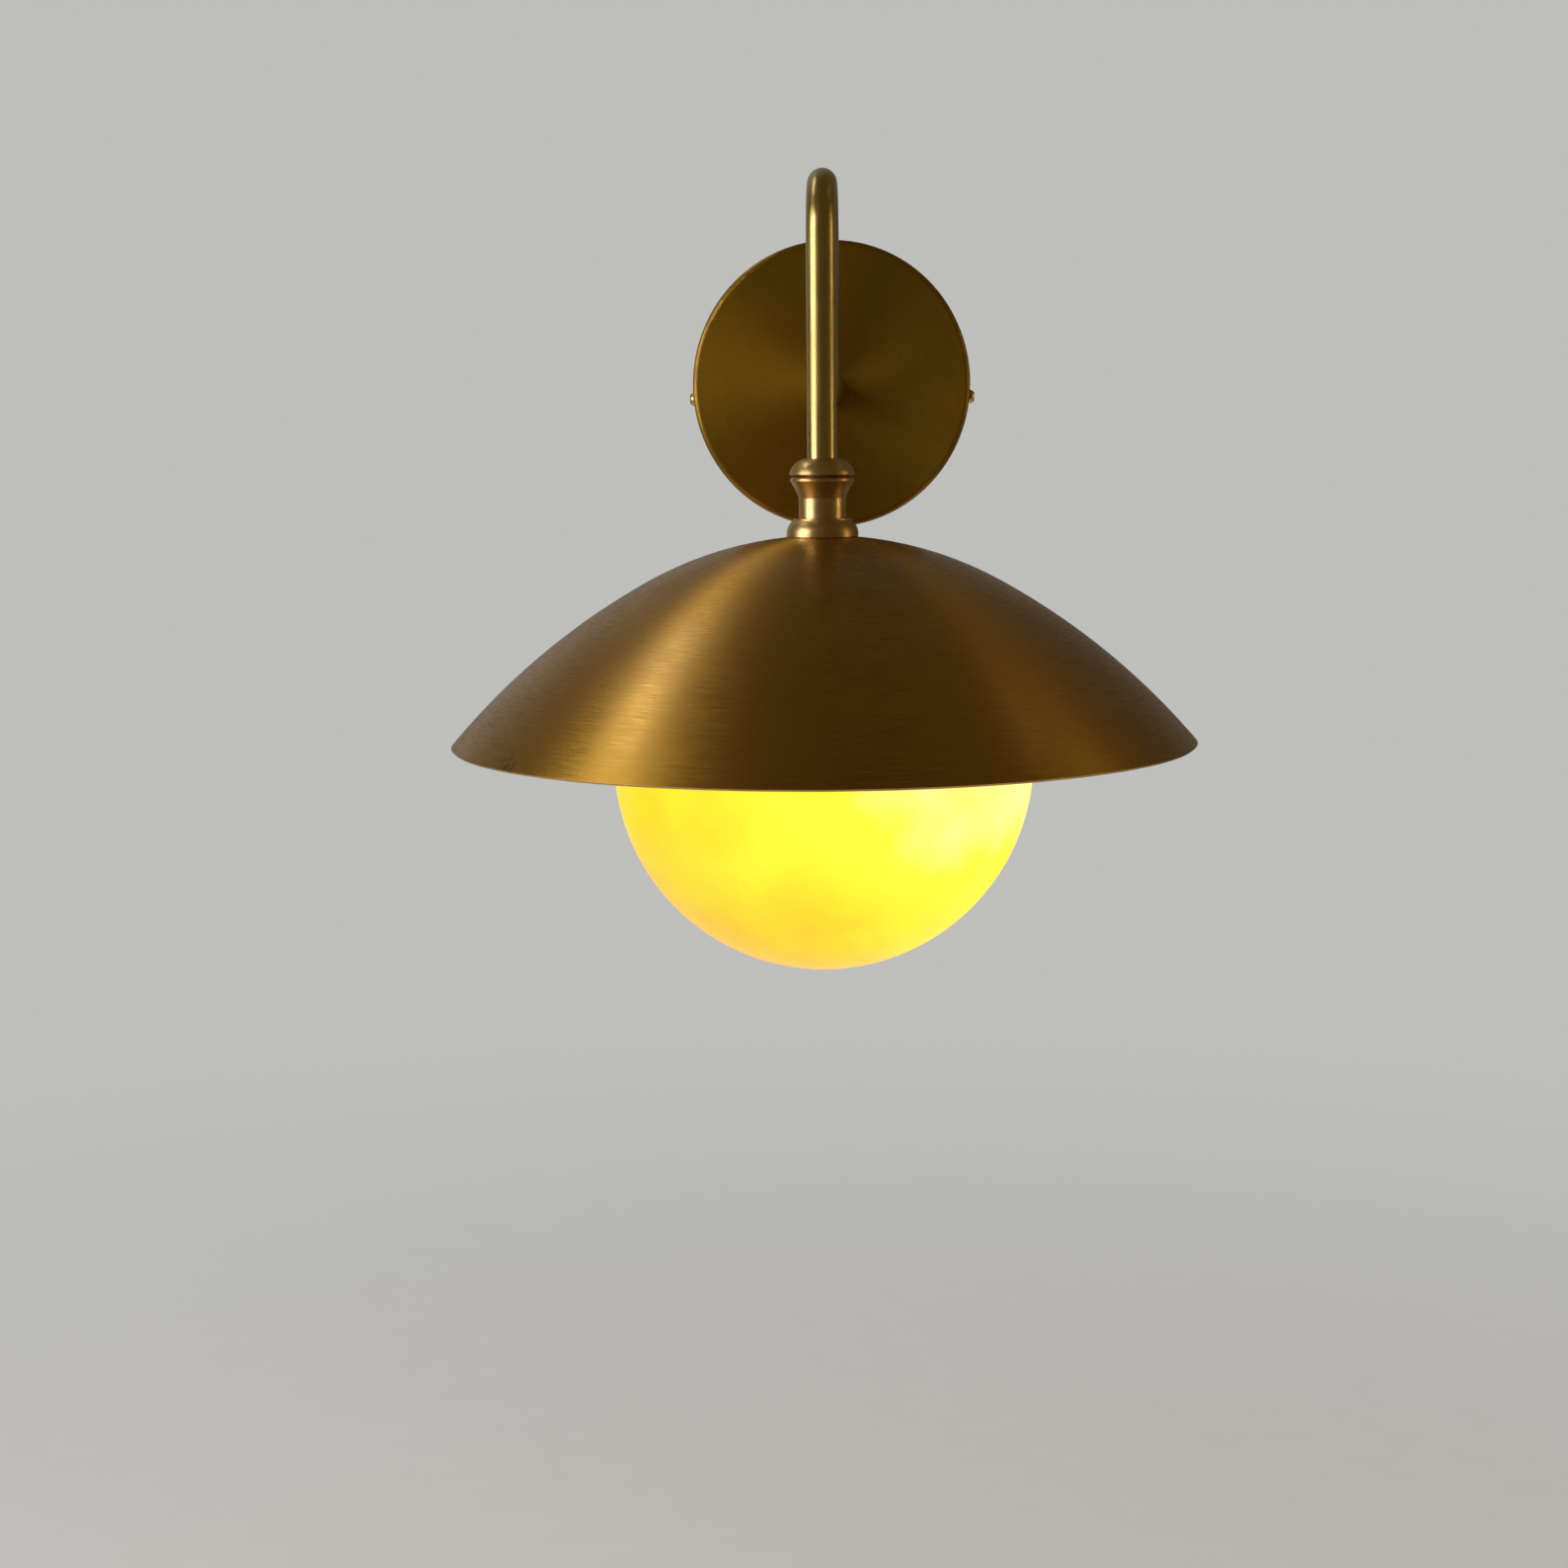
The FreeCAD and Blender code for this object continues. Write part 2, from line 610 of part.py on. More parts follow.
def make_terminal_block():
    body = new_body("terminal_block")
    plan = new_sketch(body, "plan", "XY_Plane")
    rectangle(plan, "-block_pitch*1.5", "block_pitch*1.5", "0", "block_height")
    pad(body, plan, "block_depth")
    front = new_sketch(body, "screw_wells", "XY_Plane")
    for way in WAYS:
        for height in ("0.25", "0.75"):
            circle(front, way, f"block_height*{height}", "way_screw_radius+thread_play")
    front.AttachmentOffset = FreeCAD.Placement(Vector(0, 0, value("block_depth")), FreeCAD.Rotation())
    bind(front, ".AttachmentOffset.Base.z", "block_depth")
    wells = body.newObject("PartDesign::Pocket", "wells")
    wells.Profile = front
    bind(wells, "Length", "block_depth-block_way_out")
    ways = new_sketch(body, "ways", "XZ_Plane")
    for way in WAYS:
        circle(ways, way, "block_way_out", "block_way_radius")
    cut_through(body, ways)
    fixings = new_sketch(body, "fixings", "XY_Plane")
    for side in ("-", ""):
        circle(fixings, f"{side}block_pitch/2", "block_height/2", "block_screw_radius+thread_play")
    cut_through(body, fixings)
    place(body, ("0", "-bracket_sheet", "block_bottom"), OUT_OF_WALL)
    keep(body, "terminal_block")
    top = "-bracket_sheet-block_depth"
    group("block_screws", [
        screw("block_screw", "block_screw_radius", "block_screw_length", "block_head_radius",
              "block_head_height", (f"{side}block_pitch/2", top, "block_bottom+block_height/2"), OUT_OF_WALL)
        for side in ("-", "")])
    group("terminal_screws", [
        screw("way_screw", "way_screw_shank", "way_screw_length", "way_screw_radius", "way_screw_head",
              (way, f"-{WAY_OUT}-block_way_radius-way_screw_length",
               f"block_bottom+block_height*{height}"), OUT_OF_WALL)
        for way in WAYS for height in ("0.25", "0.75")])


# ================================================================ arm
ARM_BORE = "(arm_radius-arm_wall)"


def make_arm():
    along_arm("arm_tube", "arm_radius", "-canopy_depth-thread_play", "swivel_height-head_drop-arm_end",
              bore=ARM_BORE)
    stud = f"({ARM_BORE}-thread_play)"
    end = "canopy_depth+stud_in_arm"
    ring("arm_stud", "stud_bore", stud, f"{end}-stud_length", end, ARM_ROOT, OUT_OF_WALL)
    under = "canopy_depth-canopy_sheet"
    ring("arm_washer", ARM_BORE, f"{ARM_BORE}+washer_width", f"{under}-washer_sheet", under,
         ARM_ROOT, OUT_OF_WALL)
    hex_nut("arm_nut", "nut_flats", ARM_BORE, f"{under}-washer_sheet-nut_height", "nut_height",
            ARM_ROOT, OUT_OF_WALL)


FLEX_END = "(canopy_depth+stud_in_arm-stud_length-flex_beyond_stud)"


def make_flex():
    """The flex through the arm, and its cores at the connector block and the earth terminal."""
    along_arm("arm_flex", "flex_radius", "-" + FLEX_END, f"-head_drop-{HOLDER_DROP}-flex_lamp_end")
    entry = "block_bottom-thread_play"
    for name, side, way in (("neutral_core", "-", WAYS[0]), ("live_core", "", WAYS[1])):
        start = f"{side}core_offset"
        insulated_core(name, [
            (start, "-" + FLEX_END, "arm_rise"), (start, "-" + WAY_OUT, "arm_rise"),
            (way, "-" + WAY_OUT, "(arm_rise+block_bottom)/2"), (way, "-" + WAY_OUT, entry)])
    tag_out = "-bracket_sheet-tag_barrel_radius"
    tag_top = "earth_head_radius+moving_gap+tag_barrel_length+thread_play"
    halfway = f"({tag_top}+{entry})/2"
    insulated_core("earth_core", [
        ("earth_screw_across", tag_out, tag_top), ("earth_screw_across", tag_out, halfway),
        (WAYS[2], "-" + WAY_OUT, f"{halfway}+core_radius"), (WAYS[2], "-" + WAY_OUT, entry)])


# ================================================================ swivel
UPPER = "swivel_gap/2"
PIN_ROOM = "(pin_radius+moving_gap)"
PIN_CIRCLE = f"(swivel_washer_radius+moving_gap+{PIN_ROOM})"


def make_swivel_arm_side():
    """What the arm carries: cap, stop pin, friction washer, spring washer and nut."""
    bore = "arm_radius+thread_play"
    body = turned_body("swivel_cap", [
        (bore, UPPER), ("cap_radius-cap_edge/2", UPPER), ("cap_radius", f"{UPPER}+cap_edge/2"),
        ("cap_radius", f"{UPPER}+cap_edge", "cap_arc", "left"), (bore + "+bore_chamfer", "cap_height+" + UPPER),
        (bore, "cap_height+" + UPPER)], SWIVEL)
    seat = new_sketch(body, "pin_seat", "XY_Plane")
    circle(seat, "0", PIN_CIRCLE, "pin_radius+thread_play")
    hole = body.newObject("PartDesign::Pocket", "pin_hole")
    hole.Profile = seat
    hole.Reversed = True
    bind(hole, "Length", UPPER + "+pin_hold")
    keep(body, "swivel_cap")
    turned("swivel_stop_pin", [
        ("0", "-pin_reach"), ("pin_radius", "-pin_reach"), ("pin_radius", UPPER + "+pin_hold"),
        ("0", UPPER + "+pin_hold")], ("0", f"{PIN_CIRCLE}-arm_reach", SWIVEL[2]))
    ring("swivel_washer", bore, "swivel_washer_radius", "-" + UPPER, UPPER, SWIVEL)
    shoulder = "-swivel_bore_depth"
    edge = "chamber_radius-moving_gap"
    ring("swivel_spring_washer", bore, edge, f"{shoulder}-swivel_spring", shoulder, SWIVEL)
    ring("swivel_nut", bore, edge, f"{shoulder}-swivel_spring-swivel_nut_height",
         f"{shoulder}-swivel_spring", SWIVEL)


def make_swivel_body():
    """Turned collar and neck.  It hangs on the nut and turns on the arm; a track in its top
    takes the stop pin, and the piece left standing in the track is the stop."""
    bore = "arm_radius+running_play"
    top = "-" + UPPER
    body = turned_body("swivel_body", [
        (bore, top), ("collar_radius-collar_bevel", top), ("collar_radius", f"{top}-collar_bevel"),
        ("collar_radius", "-collar_height", "neck_arc", "left"), ("neck_radius", "-neck_top"),
        ("neck_radius", "-neck_bottom"), ("chamber_radius", "-neck_bottom"),
        ("chamber_radius", "-swivel_bore_depth"), (bore, "-swivel_bore_depth")], SWIVEL)
    track = new_sketch(body, "track", "XY_Plane")
    outer, inner = f"({PIN_CIRCLE}+{PIN_ROOM})", f"({PIN_CIRCLE}-{PIN_ROOM})"
    right, left = "cos(swivel_stop/2-90)", "-cos(swivel_stop/2-90)"
    low = "-cos(swivel_stop/2)"
    outline(track, [
        (f"{outer}*{right}", f"{outer}*{low}", outer, "left"), ("0", outer, outer, "left"),
        (f"{outer}*{left}", f"{outer}*{low}"), (f"{inner}*{left}", f"{inner}*{low}", inner, "right"),
        ("0", inner, inner, "right"), (f"{inner}*{right}", f"{inner}*{low}")])
    cut = body.newObject("PartDesign::Pocket", "pin_track")
    cut.Profile = track
    bind(cut, "Length", "pin_reach+moving_gap")
    keep(body, "swivel_body")


# ================================================================ head
def make_shade_flange():
    bore = "rod_radius+thread_play"
    foot = "-swivel_height"
    turned("shade_flange", [
        (bore, foot), ("flange_radius-flange_foot", foot), ("flange_radius", f"{foot}+flange_foot"),
        ("flange_radius", f"{foot}+flange_edge", "flange_arc", "left"),
        ("flange_top_radius", "-neck_bottom-flange_step"), ("flange_top_radius", "-neck_bottom"),
        ("chamber_radius-thread_play", "-neck_bottom"),
        ("chamber_radius-thread_play", "-neck_bottom+spigot_height"),
        (bore, "-neck_bottom+spigot_height")], SWIVEL)


def make_rod():
    ring("threaded_rod", "rod_bore", "rod_radius", "-rod_below", "rod_above", HEAD)
    under = "-shade_sheet-gallery_sheet"
    ring("rod_washer", "rod_radius+thread_play", "rod_radius+rod_washer_width",
         f"{under}-washer_sheet", under, HEAD)
    hex_nut("rod_nut", "rod_nut_flats", "rod_radius+thread_play",
            f"({under}-washer_sheet-rod_nut_height)", "rod_nut_height", HEAD)


def make_dome_shade():
    """Spun dome: a flat seat at the crown, a round crown, and a flatter flank tangent to it."""
    crown, flat, reach = value("crown_curve"), value("crown_flat"), value("crown_reach")
    rim, height, sheet_metal = value("shade_radius"), value("shade_height"), value("shade_sheet")
    centre = Vector(0, -math.sqrt(crown ** 2 - flat ** 2), 0)
    meet = Vector(reach, centre.y + math.sqrt(crown ** 2 - reach ** 2), 0)
    edge = Vector(rim, -height, 0)
    inward = (centre - meet).normalize()
    chord = edge - meet
    flank = chord.Length ** 2 / (2 * chord.dot(inward))
    far = meet + inward * flank
    body = new_body("dome_shade")
    drawing = new_sketch(body, "half_section")

    def on(middle, radius, toward):
        return middle + (toward - middle).normalize() * radius

    seat = Vector(flat, 0, 0)
    hole = value("rod_radius+thread_play")
    inner_meet = on(centre, crown - sheet_metal, meet)
    inner_edge = on(far, flank - sheet_metal, edge)
    inner_seat = Vector(math.sqrt((crown - sheet_metal) ** 2 - (centre.y + sheet_metal) ** 2), -sheet_metal, 0)
    drawing.addGeometry(Part.LineSegment(Vector(hole, 0, 0), seat), False)
    drawing.addGeometry(arc_between(seat, meet, crown, "right"), False)
    drawing.addGeometry(arc_between(meet, edge, flank, "right"), False)
    drawing.addGeometry(Part.LineSegment(edge, inner_edge), False)
    drawing.addGeometry(arc_between(inner_edge, inner_meet, flank - sheet_metal, "left"), False)
    drawing.addGeometry(arc_between(inner_meet, inner_seat, crown - sheet_metal, "left"), False)
    drawing.addGeometry(Part.LineSegment(inner_seat, Vector(hole, -sheet_metal, 0)), False)
    drawing.addGeometry(Part.LineSegment(Vector(hole, -sheet_metal, 0), Vector(hole, 0, 0)), False)
    for first, end, second, start in ((0, 2, 1, 2), (2, 1, 3, 1), (3, 2, 4, 1), (5, 2, 6, 1), (6, 2, 7, 1), (7, 2, 0, 1)):
        drawing.addConstraint(Sketcher.Constraint("Coincident", first, end, second, start))
    for first, end, second, start in ((1, 1, 2, 2), (4, 2, 5, 1)):
        drawing.addConstraint(Sketcher.Constraint("Tangent", first, end, second, start))
    drawing.addConstraint(Sketcher.Constraint("Coincident", 1, 3, 5, 3))
    drawing.addConstraint(Sketcher.Constraint("Coincident", 2, 3, 4, 3))
    drawing.addConstraint(Sketcher.Constraint("PointOnObject", 1, 3, -2))
    drawing.addConstraint(Sketcher.Constraint("PointOnObject", 2, 3, 3))
    pin(drawing, 0, 1, "rod_radius+thread_play", "0")
    pin(drawing, 0, 2, "crown_flat", "0")
    size_radius(drawing, 1, "crown_curve")
    size_radius(drawing, 5, "crown_curve-shade_sheet")
    pin(drawing, 2, 1, "shade_radius", "-shade_height")
    limit(drawing, ("DistanceX", -1, 1, 1, 1), "crown_reach")
    limit(drawing, ("DistanceY", -1, 1, 5, 2), "-shade_sheet")
    drawing.addConstraint(Sketcher.Constraint("Horizontal", 6))
    drawing.addConstraint(Sketcher.Constraint("Vertical", 7))
    revolve(body, drawing)
    place(body, HEAD)
    keep(body, "dome_shade")


GLOBE_BORE = "(globe_neck-globe_wall)"
GLOBE_LIP = "(globe_neck+globe_lip_width)"
LIP_TOP = "(-gallery_shoulder-gallery_sheet-gasket_sheet)"
LIP_FOOT = f"({LIP_TOP}-globe_lip_height)"
GALLERY_BORE = f"({GLOBE_LIP}+globe_lip_room)"
GALLERY_RADIUS = f"({GALLERY_BORE}+gallery_sheet)"
THUMB_LEVEL = f"({LIP_FOOT}-thumb_below_lip)"
BOSS_TIP = f"({GALLERY_RADIUS}+thumb_boss_length)"
THUMB_ANGLES = (90, 210, 330)


def make_gallery():
    """Spun cup that holds the globe's lip, with a boss for each thumbscrew."""
    bore = "rod_radius+thread_play"
    top, low = "-shade_sheet", "-gallery_shoulder"
    foot = f"{THUMB_LEVEL}-thumb_boss_radius-gallery_edge"
    seat = f"{GLOBE_BORE}-gasket_sheet"
    body = turned_body("gallery", [
        (bore, top), ("gallery_hub", top), (seat, low), (GALLERY_BORE, low),
        (GALLERY_RADIUS, f"{low}-gallery_sheet"), (GALLERY_RADIUS, foot), (GALLERY_BORE, foot),
        (GALLERY_BORE, f"{low}-gallery_sheet"), (seat, f"{low}-gallery_sheet"),
        ("gallery_hub", f"{top}-gallery_sheet"), (bore, f"{top}-gallery_sheet")], HEAD)
    boss = new_sketch(body, "boss", "XZ_Plane")
    boss.AttachmentOffset = FreeCAD.Placement(Vector(0, 0, -value(GALLERY_BORE)), FreeCAD.Rotation())
    bind(boss, ".AttachmentOffset.Base.z", "-" + GALLERY_BORE)
    circle(boss, "0", THUMB_LEVEL, "thumb_boss_radius")
    stub = pad(body, boss, f"{BOSS_TIP}-{GALLERY_BORE}", reverse=True)
    thread = new_sketch(body, "thread", "XZ_Plane")
    circle(thread, "0", THUMB_LEVEL, "thumb_radius+thread_play")
    tapped = body.newObject("PartDesign::Pocket", "tapped_hole")
    tapped.Profile = thread
    tapped.Type = "ThroughAll"
    doc.recompute()
    every = body.newObject("PartDesign::PolarPattern", "every_boss")
    every.Originals = [stub, tapped]
    every.Axis = (thread, ["V_Axis"])
    every.Angle = 360
    every.Occurrences = len(THUMB_ANGLES)
    body.Tip = every
    keep(body, "gallery")


def make_thumbscrews():
    """Knurled screws whose tips stand under the globe's lip."""
    face = f"({BOSS_TIP}+thumb_head_gap)"
    tip = f"(globe_neck+thumb_tip_gap)-{face}"
    for number, angle in enumerate(THUMB_ANGLES, start=1):
        turn = FreeCAD.Rotation(Vector(0, 0, 1), angle).multiply(ALONG_X)
        at = (f"{face}*cos({angle})", f"-arm_reach+{face}*sin({angle})", f"-head_drop+{THUMB_LEVEL}")
        turned(f"thumbscrew_{number}", [
            ("0", tip), ("thumb_radius", tip), ("thumb_radius", "0"),
            ("thumb_head_radius-thumb_bevel", "0"), ("thumb_head_radius", "thumb_bevel"),
            ("thumb_head_radius", "thumb_head_length-thumb_bevel"),
            ("thumb_head_radius-thumb_bevel", "thumb_head_length"), ("0", "thumb_head_length")], at, turn)


def make_globe():
    """Opal ball with a short wide neck and a lip, and the gasket above the lip."""
    ring("globe_gasket", GLOBE_BORE, GLOBE_LIP, LIP_TOP, f"{LIP_TOP}+gasket_sheet", HEAD)
    outside, inside = "globe_radius", "(globe_radius-globe_wall)"
    lip, foot = f"({LIP_TOP}+{GLOBE_DROP})", f"({LIP_FOOT}+{GLOBE_DROP})"
    turned("opal_globe", [
        ("0", f"-{outside}", outside, "left"), (outside, "0", outside, "left"),
        ("globe_neck", f"sqrt({outside}^2-globe_neck^2)"), ("globe_neck", foot), (GLOBE_LIP, foot),
        (GLOBE_LIP, lip), (GLOBE_BORE, lip), (GLOBE_BORE, f"sqrt({inside}^2-{GLOBE_BORE}^2)", inside, "right"),
        (inside, "0", inside, "right"), ("0", f"-{inside}")], GLOBE)


# ================================================================ lampholder and bulb
def make_lampholder():
    """Cap on the threaded rod, sleeve, ceramic insert with its shell, contact and terminals."""
    inside = "(holder_radius-holder_wall)"
    bore = "rod_radius+thread_play"
    turned("lampholder_cap", [
        (bore, "0"), ("holder_entry", "0"), ("holder_entry", "-holder_entry_height"),
        ("holder_radius", "-holder_shoulder"), ("holder_radius", "-holder_cap_height"),
        (inside, "-holder_cap_height"), (inside, "-holder_shoulder-holder_wall"),
        ("holder_entry", "-holder_thread"), (bore, "-holder_thread")], HOLDER)
    turned("lampholder_sleeve", [
        (inside, "-holder_cap_height"), ("holder_radius", "-holder_cap_height"),
        ("holder_radius", "-holder_height"), ("holder_lip", "-holder_height"),
        ("holder_lip", "-holder_height+holder_wall"), (inside, "-holder_height+holder_wall")], HOLDER)
    plug = f"({inside}-thread_play)"
    insert = turned_body("lampholder_insert", [
        ("insert_bore", "-insert_bottom"), (plug, "-insert_bottom"), (plug, "-insert_top"),
        ("insert_bore", "-insert_top")], HOLDER)
    wells = new_sketch(insert, "terminal_holes", "XY_Plane")
    for side in ("-", ""):
        circle(wells, f"{side}lead_terminal", "0", "lead_screw_radius+thread_play")
    holes = insert.newObject("PartDesign::Pocket", "terminal_wells")
    holes.Profile = wells
    bind(holes, "Length", "insert_top+lead_screw_length+moving_gap")
    keep(insert, "lampholder_insert")
    ring("lampholder_shell", "shell_bore", "shell_bore+shell_sheet", "-shell_bottom", "-insert_bottom", HOLDER)
    turned("lampholder_contact", [
        ("0", "-insert_bottom-contact_height"), ("contact_tip", "-insert_bottom-contact_height"),
        ("contact_foot", "-insert_bottom"), ("0", "-insert_bottom")], HOLDER)
    group("lead_screws", [
        screw("lead_screw", "lead_screw_radius", "lead_screw_length", "lead_head_radius", "lead_head_height",
              (f"{side}lead_terminal", HOLDER[1], f"{HOLDER[2]}-insert_top"), UPRIGHT)
        for side in ("-", "")])
    for name, side in (("neutral_lead", "-"), ("live_lead", "")):
        near, far = f"{side}core_offset", f"{side}lead_entry"
        insulated_core(name, [
            (near, HOLDER[1], f"{HOLDER[2]}-flex_lamp_end"),
            (near, HOLDER[1], f"{HOLDER[2]}-flex_lamp_end-core_radius*2"),
            (far, HOLDER[1], f"{HOLDER[2]}-(flex_lamp_end+insert_top)/2-core_radius"),
            (far, HOLDER[1], f"{HOLDER[2]}-insert_top")])


BULB_TOP = "(-insert_bottom-contact_height)"
BULB_SEAT = f"({BULB_TOP}-bulb_cap_length)"


def make_bulb():
    """Golf-ball bulb: screw cap, insulator, contact, plastic collar and envelope."""
    inside = "(bulb_cap_radius-bulb_cap_wall)"
    skirt = f"({BULB_TOP}-bulb_cap_wall)"
    ring("bulb_cap", inside, "bulb_cap_radius", BULB_SEAT, f"{skirt}-bulb_pip_radius", HOLDER)
    turned("bulb_insulator", [
        ("0", f"{skirt}-bulb_pip_radius"), ("bulb_cap_radius", f"{skirt}-bulb_pip_radius"),
        ("bulb_pip_radius", skirt), ("0", skirt)], HOLDER)
    turned("bulb_contact", [
        ("0", skirt), ("bulb_pip_radius", skirt), ("bulb_pip_tip", BULB_TOP), ("0", BULB_TOP)], HOLDER)
    rim = f"({BULB_SEAT}-bulb_collar_height)"
    turned("bulb_collar", [
        (f"{inside}-bulb_wall", BULB_SEAT), ("bulb_cap_radius", BULB_SEAT),
        ("bulb_cap_radius", f"{BULB_SEAT}-bulb_collar_neck"), ("bulb_collar_radius", rim),
        ("bulb_collar_radius-bulb_collar_wall", rim)], HOLDER)
    rise = "sqrt(bulb_radius^2-bulb_collar_radius^2)"
    hollow, mouth = "(bulb_radius-bulb_wall)", "(bulb_collar_radius-bulb_wall)"
    turned("bulb_envelope", [
        ("0", "-bulb_radius", "bulb_radius", "left"), ("bulb_radius", "0", "bulb_radius", "left"),
        ("bulb_collar_radius", rise), (mouth, f"sqrt({hollow}^2-{mouth}^2)", hollow, "right"),
        (hollow, "0", hollow, "right"), ("0", f"-{hollow}")],
        (HOLDER[0], HOLDER[1], f"{HOLDER[2]}+{rim}-{rise}"))


for step in (make_wall_bracket, make_canopy, make_canopy_screws, make_earth_terminal, make_terminal_block,
             make_arm, make_flex, make_swivel_arm_side, make_swivel_body, make_shade_flange, make_rod,
             make_dome_shade, make_gallery, make_thumbscrews, make_globe, make_lampholder, make_bulb):
    step()
doc.recompute()

faults = [f"{thing.Name} {thing.State}" for thing in doc.Objects
          if "Invalid" in thing.State or "Error" in thing.State]
for part in PARTS:
    if part.Shape.isNull() or not part.Shape.isValid() or part.Shape.Volume <= 0:
        faults.append(part.Label + " has no valid shape")
if faults:
    raise SystemExit("not written: " + "; ".join(faults))

os.makedirs("parts", exist_ok=True)
for part in PARTS:
    part.Shape.exportStep(f"parts/{part.Label}.step")
    box = part.Shape.BoundBox
    print(f"{part.Label:22s} {len(part.Shape.Solids)} solids {part.Shape.Volume:10.1f} mm3  "
          f"x {box.XMin:7.2f} {box.XMax:7.2f}  y {box.YMin:7.2f} {box.YMax:7.2f}  "
          f"z {box.ZMin:7.2f} {box.ZMax:7.2f}")
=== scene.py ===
import math

import bmesh
import bpy
from mathutils import Matrix, Vector

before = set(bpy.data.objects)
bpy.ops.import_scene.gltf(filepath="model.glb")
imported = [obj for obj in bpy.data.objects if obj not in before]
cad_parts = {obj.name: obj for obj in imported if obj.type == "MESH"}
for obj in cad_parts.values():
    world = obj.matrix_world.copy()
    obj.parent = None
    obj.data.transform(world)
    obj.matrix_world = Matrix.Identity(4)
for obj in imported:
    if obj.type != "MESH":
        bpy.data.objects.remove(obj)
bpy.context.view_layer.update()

# where the finishes take their turning axes from, in metres
FRAME_ORIGIN = (0.0, 0.0, 0.0)
HEAD_AXIS = (0.0, -0.140, -0.0473)
CANOPY_AXIS = (0.0, 0.0, 0.0045)
GLOBE_CENTRE = (0.0, -0.140, -0.1225)
GLOBE_RADIUS = 0.072
RIM_MARK = (-0.0985, -0.2195, -0.1145)      # small dark marks on the shade's rim, left
RIM_MARK_SIZE = 0.009

# the camera, placed as for the photograph
CAMERA_PLACE = (0.02588, -1.00247, -0.01486)
CAMERA_TURN = (-2.689, -13.854, -0.532)      # yaw, pitch, roll in degrees
CAMERA_LENS = 57.57
CAMERA_SHIFT = 0.174

BACKGROUND = (0.52, 0.52, 0.51, 1.0)
DULL_LIGHT = (0.46, 0.46, 0.45, 1.0)         # the even light that falls on unpolished surfaces

# what polished brass reflects, by side
IN_FRONT = (0.082, 0.060, 0.026, 1.0)
BEHIND_LEFT = (0.28, 0.265, 0.240, 1.0)
BEHIND_RIGHT = (0.090, 0.076, 0.058, 1.0)
BEHIND_BELOW = (0.560, 0.430, 0.260, 1.0)    # in the globe's own light

FLOOR_LEVEL = -0.60
FLOOR_RADIUS = 12.0
FLOOR_FADE = (0.2, 1.5)                      # from its middle, where it turns into the background
LAMP_DISTANCE = 1.6


# ---------------------------------------------------------------- node trees

ALONG_THE_TUBE = (1.0, 0.035, 0.035)         # draws the lines out in the plane of the arm


class Tree:
    """Adds nodes to one tree. An input given as a socket is linked, and any other value is set."""

    def __init__(self, tree):
        self.tree = tree

    def add(self, kind, inputs=None, **settings):
        node = self.tree.nodes.new(kind)
        for name, value in settings.items():
            setattr(node, name, value)
        for name, value in (inputs or {}).items():
            self.feed(node.inputs[name], value)
        return node

    def feed(self, socket, value):
        if isinstance(value, bpy.types.NodeSocket):
            self.tree.links.new(value, socket)
        else:
            socket.default_value = value

    def calc(self, operation, a, b=0.0, clamp=False):
        """A sum such as ADD or MULTIPLY."""
        node = self.add("ShaderNodeMath", {0: a, 1: b}, operation=operation, use_clamp=clamp)
        return node.outputs[0]

    def span(self, value, low, high, to_low=0.0, to_high=1.0, smooth=False):
        """value from low..high to to_low..to_high, held at the ends."""
        node = self.add("ShaderNodeMapRange", {
            "Value": value, "From Min": low, "From Max": high, "To Min": to_low, "To Max": to_high})
        if smooth:
            node.interpolation_type = "SMOOTHSTEP"
        return node.outputs["Result"]

    def noise(self, place, scale, detail=3.0, roughness=0.55):
        node = self.add("ShaderNodeTexNoise", {
            "Vector": place, "Scale": scale, "Detail": detail, "Roughness": roughness})
        return node.outputs["Fac"]

    def tint(self, share, first, second):
        """first and second mixed, share being the second's part."""
        node = self.add("ShaderNodeMix", data_type="RGBA")
        for socket, value in ((node.inputs[0], share), (node.inputs[6], first), (node.inputs[7], second)):
            self.feed(socket, value)
        return node.outputs[2]

    def group(self, name, inputs=None):
        node = self.add("ShaderNodeGroup", node_tree=bpy.data.node_groups[name])
        for socket, value in (inputs or {}).items():
            self.feed(node.inputs[socket], value)
        return node.outputs


def new_group(name, inputs, outputs):
    """An empty node group with these sockets. Returns its tree, its inputs and its output node."""
    group = bpy.data.node_groups.new(name, "ShaderNodeTree")
    for label, kind in inputs.items():
        group.interface.new_socket(label, in_out="INPUT", socket_type="NodeSocket" + kind)
    for label, kind in outputs.items():
        group.interface.new_socket(label, in_out="OUTPUT", socket_type="NodeSocket" + kind)
    tree = Tree(group)
    return tree, tree.add("NodeGroupInput").outputs, tree.add("NodeGroupOutput")


def make_brush_lines():
    """Fine lines around the Z axis of Place, as a lathe or a brush leaves them."""
    tree, given, out = new_group(
        "brush_lines", {"Place": "Vector", "Streaks": "Float", "Lines": "Float"}, {"Lines": "Float"})
    part = tree.add("ShaderNodeSeparateXYZ", {0: given["Place"]}).outputs
    squares = [tree.calc("POWER", part[side], 2.0) for side in (0, 1)]
    across = tree.calc("SQRT", tree.calc("ADD", *squares))
    turn = tree.calc("DIVIDE", given["Streaks"], tree.calc("MAXIMUM", across, 0.0001))
    along = tree.calc("MULTIPLY", tree.calc("SUBTRACT", across, part[2]), given["Lines"])
    place = tree.add("ShaderNodeCombineXYZ", {
        0: tree.calc("MULTIPLY", part[0], turn),
        1: tree.calc("MULTIPLY", part[1], turn),
        2: along}).outputs[0]
    tree.feed(out.inputs["Lines"], tree.noise(place, 1.0, 3.0, 0.62))


